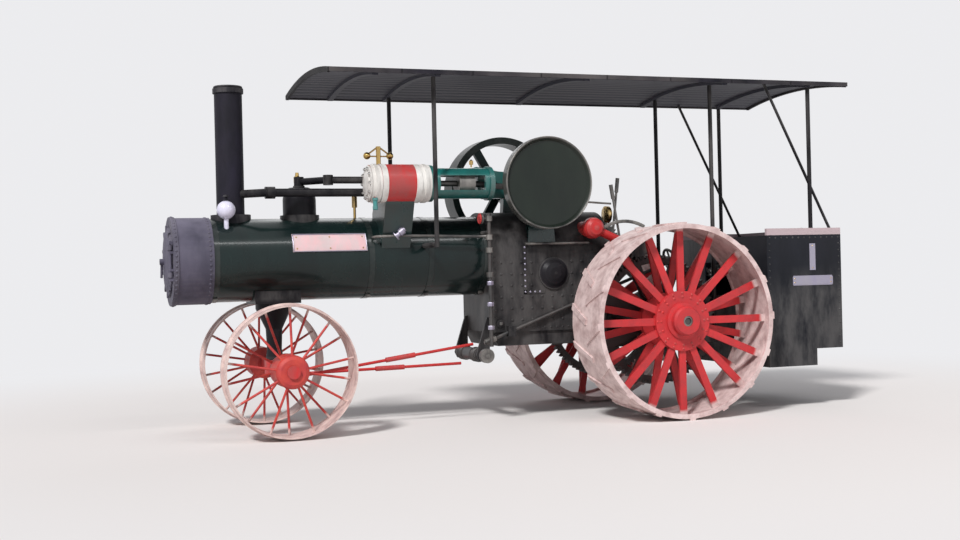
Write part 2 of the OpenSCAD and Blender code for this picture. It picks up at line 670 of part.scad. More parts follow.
module front_wheel() difference() {
    union() {
        // rim with a guide rib round its middle
        color("#d3b0a6") translate([0, front_wheel_y, 0]) rotate([90, 0, 0]) rotate_extrude()
            polygon([[front_rim_r - front_rim_t, 0], [front_rim_r, 0], [front_rim_r, front_wheel_w / 2 - 26],
                [front_r, front_wheel_w / 2 - 18], [front_r, front_wheel_w / 2 + 18],
                [front_rim_r, front_wheel_w / 2 + 26], [front_rim_r, front_wheel_w],
                [front_rim_r - front_rim_t, front_wheel_w]]);
        // round spokes from two hub flanges to the middle of the rim
        color("#b23a2c") for (row = [[front_wheel_y - 20, 0], [front_inner_y + 20, 0.5]])
            for (i = [0 : front_spokes - 1]) rotate([0, (i + row[1]) * 360 / front_spokes, 0])
            bar([0, row[0], front_hub_d / 2 - 20],
                [0, (row[0] + front_wheel_y - front_wheel_w / 2) / 2, front_rim_r - front_rim_t / 2 - 2], front_spoke_d);
        // drum hub with rounded ends
        color("#c4291a") translate([0, front_wheel_y + 20, 0]) rotate([90, 0, 0]) rotate_extrude()
            polygon([[20, 0], [front_hub_d / 2 - 35, 0], [front_hub_d / 2 - 10, 12], [front_hub_d / 2, 35],
                [front_hub_d / 2, front_wheel_w + 20], [front_hub_d / 2 - 30, front_wheel_w + 60],
                [front_hub_d / 2 - 60, front_wheel_w + 100], [20, front_wheel_w + 100]]);
    }
    along_y(front_journal_d + 2 * run, 0, 0, 0, front_wheel_y + 21);
    // the hub cap hides the journal's end
}
module steering_rod(side) placed() color("#c8301c") {
    tail_x = roller_x + 40;
    tail_z = pivot_z + (pivot_x - tail_x) * rod_rise * (side > 0 ? 1 : rod_low);
    difference() {
        union() {
            along_z(60, pivot_x, side * pivot_y, pivot_z - 16, pivot_z + 16);
            bar([pivot_x - 20, side * pivot_y, pivot_z], [tail_x, side * pivot_y, tail_z], steer_rod_d);
            // turnbuckle in the middle of the rod
            bar([pivot_x - 820, side * pivot_y, pivot_z + 820 * (tail_z - pivot_z) / (pivot_x - tail_x)],
                [pivot_x - 1080, side * pivot_y, pivot_z + 1080 * (tail_z - pivot_z) / (pivot_x - tail_x)],
                steer_rod_d + 18);
        }
        along_z(24 + 2 * run, pivot_x, side * pivot_y, 0, front_r);
    }
}
rod_low = (roller_z - 66 - 16 - steer_rod_d / 2 - pivot_z) / ((pivot_x - roller_x - 40) * rod_rise);
module chain_roller() color("#3a3d40") placed() {
    along_y(2 * roller_r, roller_x, roller_z, -260, 260);
    along_y(40, roller_x, roller_z, -310, steer_shaft_y + 30);
    // turns of chain round the roller
    for (s = [-1, 1]) for (i = [-2 : 2]) translate([roller_x, s * pivot_y + i * 22, roller_z]) rotate([90, 0, 0])
        rotate_extrude() translate([roller_r + 1, 0]) circle(d = 18, $fn = 16);
    // worm wheel under the steering shaft
    along_y(124, roller_x, roller_z, steer_shaft_y - 25, steer_shaft_y + 25);
}
module roller_brackets() color("#16191b") placed() {
    for (s = [-1, 1]) difference() {
        side_plate([[barrel_back_x + seat, firebox_base_z + 130], [barrel_back_x + 20, firebox_base_z + 130],
            [roller_x + 55, roller_z], [roller_x + 30, roller_z - 50], [roller_x - 30, roller_z - 50],
            [barrel_back_x + seat, firebox_base_z - ashpan_h - 20]], s * 290 - 12, s * 290 + 12);
        along_y(40 + 2 * run, roller_x, roller_z, -400, 400);
    }
    // two blocks on the firebox side that carry the steering shaft
    for (x = [barrel_back_x - 160, firebox_back_x + 90]) difference() {
        block([x - 35, firebox_r, steer_z(x) - 45], [x + 35, steer_shaft_y + 30, steer_z(x) + 45]);
        steer_line(steer_shaft_d + 2 * run, -100, 4000);
    }
}
steer_slope = (steer_low_z - hand_wheel_z) / (steer_low_x - hand_wheel_x);
function steer_z(x) = hand_wheel_z + (x - hand_wheel_x) * steer_slope;
steer_length = norm([steer_low_x - hand_wheel_x, steer_low_z - hand_wheel_z]);
// Round bar on the steering shaft's line, from a to b counted from the hand wheel
module steer_line(d, a, b) translate([hand_wheel_x, steer_shaft_y, hand_wheel_z])
    rotate([0, 90 - atan(steer_slope), 0]) translate([0, 0, a]) cylinder(d = d, h = b - a);
module steering_shaft() color("#202326") placed() {
    steer_line(steer_shaft_d, -20, steer_length);
    steer_line(52, steer_length - 110, steer_length - 10);
    translate([hand_wheel_x, steer_shaft_y, hand_wheel_z]) rotate([0, 90 - atan(steer_slope), 0]) {
        rotate_extrude() translate([hand_wheel_r - 12, 0]) circle(d = 24, $fn = 24);
        for (a = [0 : 90 : 270]) rotate([0, 0, a]) rotate([0, 90, 0]) cylinder(d = 18, h = hand_wheel_r - 12);
        translate([0, 0, -20]) cylinder(d = 60, h = 40);
        translate([hand_wheel_r - 12, 0, -90]) cylinder(d = 26, h = 90);
    }
}
module frame_rails() color("#17191b") placed() both_sides() difference() {
    y0 = firebox_r + seat;
    union() {
        block([platform_back_x + 10, y0, floor_z - 100], [firebox_back_x + 260, y0 + rail_t, floor_z]);
        block([firebox_back_x + 20, y0, floor_z - 1], [firebox_back_x + 260, y0 + rail_t, firebox_base_z + 120]);
        // axle box
        block([-110, y0, floor_z - 100], [110, y0 + 62, rear_r + 95]);
    }
    along_y(rear_axle_d + 2 * run, 0, rear_r, 0, 1000);
}
module rear_axle() color("#6d6f72") placed() {
    along_y(rear_axle_d, 0, rear_r, -rear_wheel_y + 26, rear_wheel_y - 26);
    both_sides() along_y(rear_axle_d + 44, 0, rear_r, firebox_r + 100, firebox_r + 128);
}
hub_r = 175;
ring_outer = 255;
module rear_wheel() difference() {
    union() {
        // rim with an inner flange at each edge
        color("#c98f8a") translate([0, rear_wheel_y, 0]) rotate([90, 0, 0]) rotate_extrude()
            polygon([[rear_rim_r - rear_rim_t - 26, 0], [rear_rim_r, 0], [rear_rim_r, rear_wheel_w],
                [rear_rim_r - rear_rim_t - 26, rear_wheel_w], [rear_rim_r - rear_rim_t - 26, rear_wheel_w - 12],
                [rear_rim_r - rear_rim_t, rear_wheel_w - 12], [rear_rim_r - rear_rim_t, 12],
                [rear_rim_r - rear_rim_t - 26, 12]]);
        color("#c98f8a") intersection() {
            along_y(2 * rear_r, 0, 0, rear_inner_y, rear_wheel_y);
            for (i = [0 : rear_spokes - 1]) for (s = [-1, 1]) rotate([0, (i + s / 4) * 360 / rear_spokes, 0])
                translate([0, rear_wheel_y - rear_wheel_w / 2 + s * rear_wheel_w / 4, rear_rim_r - 4])
                rotate([0, 0, s * 24]) translate([-cleat_w / 2, -rear_wheel_w * 0.31, 0])
                cube([cleat_w, rear_wheel_w * 0.62, 60]);
        }
        // two rows of flat spokes, the inner row half a step on
        color("#c4291a") for (row = [[rear_wheel_y - 125, 0], [rear_inner_y + 120, 0.5]])
            for (i = [0 : rear_spokes - 1]) rotate([0, (i + row[1]) * 360 / rear_spokes, 0])
            translate([-rear_spoke_w / 2, row[0] - rear_spoke_t / 2, hub_r - 30])
            cube([rear_spoke_w, rear_spoke_t, rear_rim_r - rear_rim_t + 2 - hub_r + 30]);
        // hub with its flange rings and outer boss
        color("#c4291a") translate([0, rear_wheel_y, 0]) rotate([90, 0, 0]) rotate_extrude()
            polygon([[40, 0], [110, 0], [125, 20], [125, 70], [hub_r - 20, 78], [hub_r - 20, 96],
                [ring_outer, 96], [ring_outer, 152], [hub_r - 20, 152], [hub_r - 30, rear_wheel_w - 160],
                [ring_outer - 20, rear_wheel_w - 150], [ring_outer - 20, rear_wheel_w - 96],
                [hub_r - 20, rear_wheel_w - 90], [hub_r - 20, rear_wheel_y - bull_y0], [40, rear_wheel_y - bull_y0]]);
        // bull gear on eight arms
        color("#3a3330") {
            gear_y(bull_teeth, bull_module, bull_turn, 0, 0, bull_y0, bull_y0 + bull_w);
        }
    }
    difference() {
        along_y(2 * (bull_r - 60), 0, 0, bull_y0 - 1, bull_y0 + bull_w + 1);
        along_y(2 * (hub_r - 20), 0, 0, bull_y0 - 2, bull_y0 + bull_w + 2);
        for (a = [0 : 45 : 315]) rotate([0, a + 22.5, 0]) block([-45, bull_y0 - 3, 0], [45, bull_y0 + bull_w + 3, bull_r]);
    }
    along_y(rear_axle_d + 2 * run, 0, 0, 0, rear_wheel_y - 26 + 0.5);
    along_y(90, 0, 0, rear_wheel_y - 30, rear_wheel_y + 1);
}
module pinion_shaft() color("#54565a") difference() {
    union() {
        along_y(counter_d, counter_x, counter_z, 2, bull_y0 + bull_w);
        gear_y(pinion_teeth, bull_module, pinion_turn, counter_x, counter_z, bull_y0, bull_y0 + bull_w);
    }
}
module shaft_arms() color("#c8301c") placed() {
    // left arm: round boss on the firebox, stout bar, bearing on the countershaft
    difference() {
        union() {
            translate([boss_x, 0, boss_z]) rotate([-90, 0, 0]) rotate_extrude() polygon([[0, 200], [boss_r - 26, 200],
                [boss_r - 26, arm_y0 - 46], [boss_r - 8, arm_y0 - 24], [boss_r, arm_y0 + 10], [boss_r, arm_y1 - 26],
                [boss_r - 10, arm_y1 + 10], [boss_r - 34, arm_y1 + 32], [0, arm_y1 + 42]]);
            bar([boss_x, arm_y, boss_z], [counter_x, arm_y, counter_z], arm_d);
            along_y(150, counter_x, counter_z, arm_y0, arm_y1);
        }
        firebox_space(seat);
        along_y(counter_d + 2 * run, counter_x, counter_z, 0, 1000);
    }
    // right arm: the same from the intermediate gear's stud
    difference() {
        union() {
            along_y(80, idler_x, idler_z, -arm_y1, -200);
            bar([idler_x, -arm_y, idler_z], [counter_x, -arm_y, counter_z], arm_d);
            along_y(110, idler_x, idler_z, -arm_y1, -arm_y0);
            along_y(150, counter_x, counter_z, -arm_y1, -arm_y0);
        }
        firebox_space(seat);
        along_y(counter_d + 2 * run, counter_x, counter_z, -1000, 0);
    }
    // middle bearing on the backhead
    difference() {
        union() {
            block([counter_x, -60, counter_z - 60], [firebox_back_x - seat, 60, counter_z + 60]);
            along_y(140, counter_x, counter_z, -60, 60);
        }
        along_y(counter_d + 2 * run, counter_x, counter_z, -100, 100);
    }
}
module train_gear(n, turn, x, z, bore) difference() {
    gear_y(n, train_module, turn, x, z, -train_y1, -train_y0);
    difference() {
        along_y(train_module * n - 90, x, z, -train_y1 - 1, -train_y0 + 1);
        along_y(bore + 70, x, z, -train_y1 - 2, -train_y0 + 2);
        for (a = [0 : 60 : 300]) translate([x, 0, z]) rotate([0, a, 0])
            block([-28, -train_y1 - 3, 0], [28, -train_y0 + 3, train_module * n / 2 - 20]);
    }
    along_y(bore + 2 * run, x, z, -train_y1 - 5, -train_y0 + 5);
}
module idler_gear() color("#54565a") placed() train_gear(idler_teeth, idler_turn, idler_x, idler_z, 80);
module differential_gear() color("#54565a") placed() train_gear(diff_teeth, diff_turn, counter_x, counter_z, counter_d);
module platform() color("#191b1d") placed() difference() {
    union() {
        block([platform_back_x + pass, -platform_w / 2, floor_z + seat],
            [firebox_back_x - pass, platform_w / 2, floor_z + plate_t]);
        both_sides() block([platform_back_x + pass, platform_w / 2 - plate_t, floor_z + seat],
            [firebox_back_x - 260, platform_w / 2, floor_z + 330]);
    }
    both_sides() block([-110 - seat, firebox_r - 20, floor_z - 10],
        [110 + seat, firebox_r + 62 + 2 * seat, floor_z + 30]);
    both_sides() block([firebox_back_x - 10, firebox_r, floor_z - 10],
        [firebox_back_x + 10, firebox_r + rail_t + 1, floor_z + 30]);
    along_y(rear_axle_d + 44 + 2 * pass, 0, rear_r, -1000, 1000);
}
module tank() color("#14181a") placed() difference() {
    union() {
        side_plate([[tank_front_x, tank_low_z], [tank_front_x, tank_top_z], [tank_back_x, tank_top_z],
            [tank_back_x, tank_high_z], [tank_front_x - tank_deep_l, tank_high_z],
            [tank_front_x - tank_deep_l, tank_low_z]], -tank_w / 2, tank_w / 2);
        // filler collar
        along_z(190, lid_x, lid_y, tank_top_z - 1, tank_top_z + 26);
        // lugs and pin of the filler lid's hinge
        for (s = [-1, 1]) block([lid_x - 130, lid_y + s * 50 - 6, tank_top_z - 1],
            [lid_x - 106, lid_y + s * 50 + 6, tank_top_z + 46]);
        along_y(12, lid_x - 118, tank_top_z + 36 + seat, lid_y - 60, lid_y + 60);
    }
    along_z(160, lid_x, lid_y, tank_top_z - 120, tank_top_z + 30);
    // coal space, open above and through the front
    block([tank_back_x + 130, -tank_w / 2 + 420, 900], [tank_front_x - 12, tank_w / 2 - 420, tank_top_z + 1]);
    block([tank_front_x - 13, -260, 900], [tank_front_x + 1, 260, 1330]);
}
module tank_lid() color("#2a2f31") placed() {
    z = tank_top_z + 26 + seat;
    along_z(200, lid_x, lid_y, z, z + 14);
    difference() {
        union() {
            along_y(30, lid_x - 118, z + 10, lid_y - 40, lid_y + 40);
            block([lid_x - 118, lid_y - 30, z], [lid_x - 60, lid_y + 30, z + 12]);
        }
        along_y(12 + 2 * run, lid_x - 118, z + 10, lid_y - 60, lid_y + 60);
    }
    along_y(16, lid_x + 60, z + 34, lid_y - 35, lid_y + 35);
    for (y = [lid_y - 30, lid_y + 30]) along_z(12, lid_x + 60, y, z + 10, z + 34);
}
module tank_boards() color("#cdb3ab") placed() {
    both_sides() block([tank_back_x, tank_w / 2 - board_t, tank_top_z],
        [tank_front_x, tank_w / 2, tank_top_z + board_h]);
    block([tank_back_x, -tank_w / 2 + board_t + 2, tank_top_z],
        [tank_back_x + board_t, tank_w / 2 - board_t - 2, tank_top_z + board_h]);
}
module tank_plate() color("#b9b7c6") placed() {
    block([tank_front_x - 680, tank_w / 2, 1112], [tank_front_x - 260, tank_w / 2 + 5, 1182]);
    block([tank_front_x - 500, tank_w / 2, 1240], [tank_front_x - 440, tank_w / 2 + 5, 1480]);
}
module drawbar() color("#202224") placed() difference() {
    union() {
        block([rear_end, -60, tank_low_z + 60], [tank_front_x - tank_deep_l - seat, 60, tank_low_z + 105]);
        block([tank_front_x - tank_deep_l - 16, -140, tank_low_z + 20], [tank_front_x - tank_deep_l - seat, 140, tank_high_z - seat]);
        block([tank_back_x + 20, -40, tank_low_z + 100], [tank_back_x + 120, 40, tank_high_z - seat]);
    }
    along_z(40, rear_end + 50, 0, 0, tank_high_z);
}
canopy_half = canopy_w / 2;
canopy_arc_r = (canopy_half * canopy_half + canopy_rise * canopy_rise) / (2 * canopy_rise);
canopy_arc_z = eave_z + canopy_rise - canopy_arc_r;
canopy_back_x = canopy_front_x - canopy_l;
// Height of the roof's upper side at the distance y from the middle
function roof_z(y) = canopy_arc_z + sqrt(canopy_arc_r * canopy_arc_r - y * y);
// Height at which a post under a rib ends
function post_top(y) = canopy_arc_z - seat
    + sqrt(pow(canopy_arc_r - canopy_t - rib_h, 2) - pow(y + post_r, 2));
module arc_band(top, bottom, half) intersection() {
    difference() {
        translate([0, canopy_arc_z]) circle(r = canopy_arc_r - top, $fn = 360);
        translate([0, canopy_arc_z]) circle(r = canopy_arc_r - bottom, $fn = 360);
    }
    translate([-half, eave_z - 200]) square([2 * half, 800]);
}
module canopy_roof() color("#15161c") placed() {
    end_plate(canopy_back_x, canopy_front_x) {
        arc_band(0, canopy_t, canopy_half);
        for (s = [-1, 1]) translate([s * (canopy_half - 12) - 12, eave_z - fascia_h]) square([24, fascia_h - 4]);
    }
    for (x = [canopy_back_x, canopy_front_x - 24]) end_plate(x, x + 24) arc_band(canopy_t - 2, fascia_h + 10, canopy_half - 22);
}
module canopy_ribs() color("#0f1013") placed() {
    for (x = [front_post_x, mid_post_x, rear_post_x, (front_post_x + mid_post_x) / 2, canopy_front_x - 400])
        end_plate(x - 25, x + 25) arc_band(canopy_t + seat, canopy_t + rib_h, canopy_half - 60);
}
module canopy_posts() color("#111317") placed() both_sides() {
    // front post on an arm from the barrel
    along_z(post_d, front_post_x, front_post_y, boiler_z + 70, post_top(front_post_y));
    difference() {
        along_y(post_d + 8, front_post_x, boiler_z + 90, 250, front_post_y);
        boiler_space(seat);
    }
    // middle post on the platform's side sheet
    along_z(post_d, mid_post_x, mid_post_y, floor_z + 60, post_top(mid_post_y));
    for (z = [floor_z + 90, floor_z + 290]) block([mid_post_x - 30, platform_w / 2 + seat, z - 15],
        [mid_post_x + 30, mid_post_y + 10, z + 15]);
    // rear post and the raking stay from the tank's rear corner
    along_z(post_d, rear_post_x, rear_post_y, tank_top_z + seat, post_top(rear_post_y));
    along_z(2 * (tank_w / 2 - board_t - rear_post_y) - 4, rear_post_x, rear_post_y, tank_top_z + seat, tank_top_z + 14);
    bar([tank_back_x + board_t + 24, rear_post_y, tank_top_z + 14],
        [tank_back_x + 735, rear_post_y, roof_z(rear_post_y + 13) - canopy_t - 6], 26);
}

boiler();
union() {
    smokebox();
    smokebox_hinge();
}
smokebox_door();
stack();
steam_dome();
whistle();
union() {
    firebox();
    fire_hinge();
}
ashpan();
fire_door();
engine_cylinder();
engine_frame();
connecting_rod();
crank_guard();
crankshaft();
flywheel();
governor();
steam_pipe();
exhaust_pipe();
feed_pipe();
feed_pump_cover();
side_bar();
name_panel();
headlamp();
front_pedestal();
front_axle();
placed() translate([wheelbase, 0, front_r]) front_wheel();  // front_wheel_left
placed() translate([wheelbase, 0, front_r]) mirror([0, 1, 0]) front_wheel();  // front_wheel_right
steering_rod(1);  // steering_rod_left
steering_rod(-1);  // steering_rod_right
chain_roller();
roller_brackets();
steering_shaft();
frame_rails();
rear_axle();
placed() translate([0, 0, rear_r]) rear_wheel();  // rear_wheel_left
placed() translate([0, 0, rear_r]) mirror([0, 1, 0]) rear_wheel();  // rear_wheel_right
placed() pinion_shaft();  // pinion_shaft_left
placed() mirror([0, 1, 0]) pinion_shaft();  // pinion_shaft_right
shaft_arms();
idler_gear();
differential_gear();
platform();
tank();
tank_lid();
tank_boards();
tank_plate();
drawbar();
canopy_roof();
canopy_ribs();
canopy_posts();
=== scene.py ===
"""Dressing of a steam traction engine: finishes for its solids and the small pieces on them."""
import json
import logging
import math
from collections.abc import Sequence
from dataclasses import dataclass
from enum import Enum

import bpy
import numpy as np
from mathutils import Matrix, Vector


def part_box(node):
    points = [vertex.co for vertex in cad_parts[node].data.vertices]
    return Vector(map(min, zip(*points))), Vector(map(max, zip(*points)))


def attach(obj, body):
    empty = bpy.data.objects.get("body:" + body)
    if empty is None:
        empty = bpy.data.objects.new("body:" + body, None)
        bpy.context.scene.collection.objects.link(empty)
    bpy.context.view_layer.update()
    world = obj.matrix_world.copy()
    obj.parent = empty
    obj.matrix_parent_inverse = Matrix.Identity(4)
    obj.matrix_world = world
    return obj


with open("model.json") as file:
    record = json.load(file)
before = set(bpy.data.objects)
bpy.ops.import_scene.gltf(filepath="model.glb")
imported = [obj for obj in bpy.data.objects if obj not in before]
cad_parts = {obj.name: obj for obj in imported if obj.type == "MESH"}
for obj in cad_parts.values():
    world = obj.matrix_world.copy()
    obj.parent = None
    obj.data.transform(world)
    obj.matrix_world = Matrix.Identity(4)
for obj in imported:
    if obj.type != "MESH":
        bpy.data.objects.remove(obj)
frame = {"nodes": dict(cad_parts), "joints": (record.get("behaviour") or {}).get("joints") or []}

logging.basicConfig(level=logging.INFO, format="%(message)s")
LOG = logging.getLogger("engine")
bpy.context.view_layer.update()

Point = tuple[float, float, float]
Colour = tuple[float, float, float]
Profile = Sequence[tuple[float, float]]
Range = tuple[float, float]
Piece = bpy.types.Object
Socket = bpy.types.NodeSocket

# Stations are counted from the rear axle, whose own place in the frame is SHIFT.
AXES = {joint["name"]: joint["pos_m"] for joint in frame["joints"]}
SHIFT, _, REAR_R = AXES["rear_wheel_left_spin"]
FRONT_R = AXES["front_wheel_left_spin"][2]
WHEELBASE = AXES["front_wheel_left_spin"][0] - SHIFT
CRANK_X, CRANK_Z = AXES["flywheel_turn"][0] - SHIFT, AXES["flywheel_turn"][2]

FORWARD: Point = (1.0, 0.0, 0.0)
BACKWARD: Point = (-1.0, 0.0, 0.0)
LEFTWARD: Point = (0.0, 1.0, 0.0)
RIGHTWARD: Point = (0.0, -1.0, 0.0)
DOWNWARD: Point = (0.0, 0.0, -1.0)


def at(x: float, y: float, z: float) -> Point:
    """Turns a place counted from the rear axle into the frame's own."""
    return (x + SHIFT, y, z)


def lowest(node: str) -> Vector:
    """Measures a solid's lowest corner, its station counted from the rear axle."""
    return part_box(node)[0] - Vector((SHIFT, 0.0, 0.0))


def highest(node: str) -> Vector:
    """Measures a solid's highest corner, its station counted from the rear axle."""
    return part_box(node)[1] - Vector((SHIFT, 0.0, 0.0))


def middle(node: str) -> Vector:
    """Measures the middle of a solid's box, its station counted from the rear axle."""
    return (lowest(node) + highest(node)) / 2


def upright(x: float, y: float, z: float) -> Matrix:
    """Gives the matrix that sets a piece unturned at a place counted from the rear axle."""
    return Matrix.Translation(at(x, y, z))


def facing(x: float, y: float, z: float, normal: "Vector | Point") -> Matrix:
    """Gives the matrix that stands a piece at a place with its Z along a normal.

    Args:
        x: station from the rear axle.
        y: place to the left.
        z: height.
        normal: which way the piece's Z points.

    Returns:
        The matrix.
    """
    turn = Vector(normal).to_track_quat("Z", "Y").to_matrix().to_4x4()
    return upright(x, y, z) @ turn


# Centre lines and faces that several groups share.
BOILER_Z = middle("smokebox_door").z
BOILER_R = 0.345
FIREBOX_BACK = lowest("ashpan").x
FIREBOX_HALF = highest("firebox").y
ENGINE_Y = middle("connecting_rod").y


class Side(Enum):
    """The two sides of the engine."""

    LEFT = 1
    RIGHT = -1

    @property
    def out(self) -> Point:
        """The direction that points out of this side."""
        return (0.0, float(self.value), 0.0)

    @property
    def word(self) -> str:
        """The side's word in the names of pieces."""
        return self.name.lower()


class Slot(Enum):
    """Names of the record's material slots."""

    JACKET = "jacket_paint"
    SMOKEBOX = "smokebox_paint"
    BLACK = "black_paint"
    RED = "red_paint"
    GREEN = "green_paint"
    BRIGHT = "bright_metal"
    STEEL = "dark_steel"
    BRASS = "brass"
    PANEL = "panel_paint"
    CANOPY = "canopy_paint"
    TANK = "tank_paint"
    PLATE = "plate_metal"
    LAMP = "lamp_white"


@dataclass(frozen=True)
class Nodes:
    """Adds nodes to the tree of one material or of the world."""

    tree: bpy.types.NodeTree
    grain_depth: float = 0.004

    def add(self, kind: str, values: "dict[str | int, object] | None" = None,
            links: "dict[str | int, Socket] | None" = None) -> bpy.types.Node:
        """Adds one shader node.

        Args:
            kind: its type, without the ShaderNode before it.
            values: its constants, by input.
            links: the outputs that feed it, by input.

        Returns:
            The node.
        """
        node = self.tree.nodes.new("ShaderNode" + kind)
        for key, value in (values or {}).items():
            node.inputs[key].default_value = value
        for key, source in (links or {}).items():
            self.tree.links.new(source, node.inputs[key])
        return node

    def noise(self, vector: Socket, scale: float, detail: float, rough: float) -> Socket:
        """Adds a noise.

        Args:
            vector: the place it is read at.
            scale: its scale.
            detail: how many finer layers it has.
            rough: how strong the finer layers are.

        Returns:
            Its value.
        """
        values = {"Scale": scale, "Detail": detail, "Roughness": rough}
        return self.add("TexNoise", values, {"Vector": vector}).outputs["Fac"]

    def ramp(self, value: Socket, low: float, high: float) -> Socket:
        """Maps the range from low to high onto 0 to 1.

        Args:
            value: what is mapped.
            low: the value that gives 0.
            high: the value that gives 1.

        Returns:
            The mapped value.
        """
        limits = {"From Min": low, "From Max": high}
        return self.add("MapRange", limits, {"Value": value}).outputs["Result"]

    def math(self, what: str, first: Socket, second: "Socket | float" = 0.0,
             third: float = 0.0) -> Socket:
        """Adds one step of arithmetic.

        Args:
            what: the operation.
            first: its first value.
            second: its second value, a constant or an output.
            third: its third value.

        Returns:
            The result.
        """
        plain = isinstance(second, float)
        node = self.add("Math", {1: second, 2: third} if plain else {2: third},
                        {0: first} if plain else {0: first, 1: second})
        node.operation = what
        return node.outputs["Value"]

    def mix(self, factor: Socket, under: "Socket | Colour", over: "Socket | Colour") -> Socket:
        """Lays one colour over another.

        Args:
            factor: how much of the upper colour shows.
            under: the lower colour, plain or an output.
            over: the upper colour, plain or an output.

        Returns:
            The mixed colour.
        """
        node = self.add("Mix", links={0: factor})
        node.data_type = "RGBA"
        for slot, colour in ((6, under), (7, over)):
            if isinstance(colour, tuple):
                node.inputs[slot].default_value = (*colour, 1.0)
            else:
                self.tree.links.new(colour, node.inputs[slot])
        return node.outputs[2]

    def split(self, vector: Socket) -> bpy.types.NodeOutputs:
        """Parts a vector into X, Y and Z."""
        return self.add("SeparateXYZ", links={"Vector": vector}).outputs

    def surface(self, colour: Socket, mottle: Socket, grain: Socket,
                rough: Range, bump: float, constants: dict[str, float]) -> None:
        """Feeds colour, uneven gloss and fine grain to one shader.

        Args:
            colour: the base colour.
            mottle: the pattern that the gloss follows.
            grain: the pattern that stands as fine relief.
            rough: the least and the most roughness.
            bump: strength of the relief.
            constants: the shader's plain values, by input.
        """
        limits = {"To Min": rough[0], "To Max": rough[1]}
        gloss = self.add("MapRange", limits, {"Value": mottle})
        relief = self.add("Bump", {"Strength": bump, "Distance": self.grain_depth},
                          {"Height": grain})
        shader = self.add("BsdfPrincipled", constants, {
            "Base Color": colour, "Roughness": gloss.outputs["Result"],
            "Normal": relief.outputs["Normal"]})
        self.add("OutputMaterial", links={"Surface": shader.outputs["BSDF"]})

    def in_view(self) -> Socket:
        """Tells the rays that show the backdrop from those that only light.

        Returns:
            A value of 1 for camera, glossy and transmission rays, 0 for others.
        """
        path = self.add("LightPath").outputs
        seen = path["Is Camera Ray"]
        for ray in ("Is Glossy Ray", "Is Transmission Ray"):
            seen = self.math("MAXIMUM", seen, path[ray])
        return seen


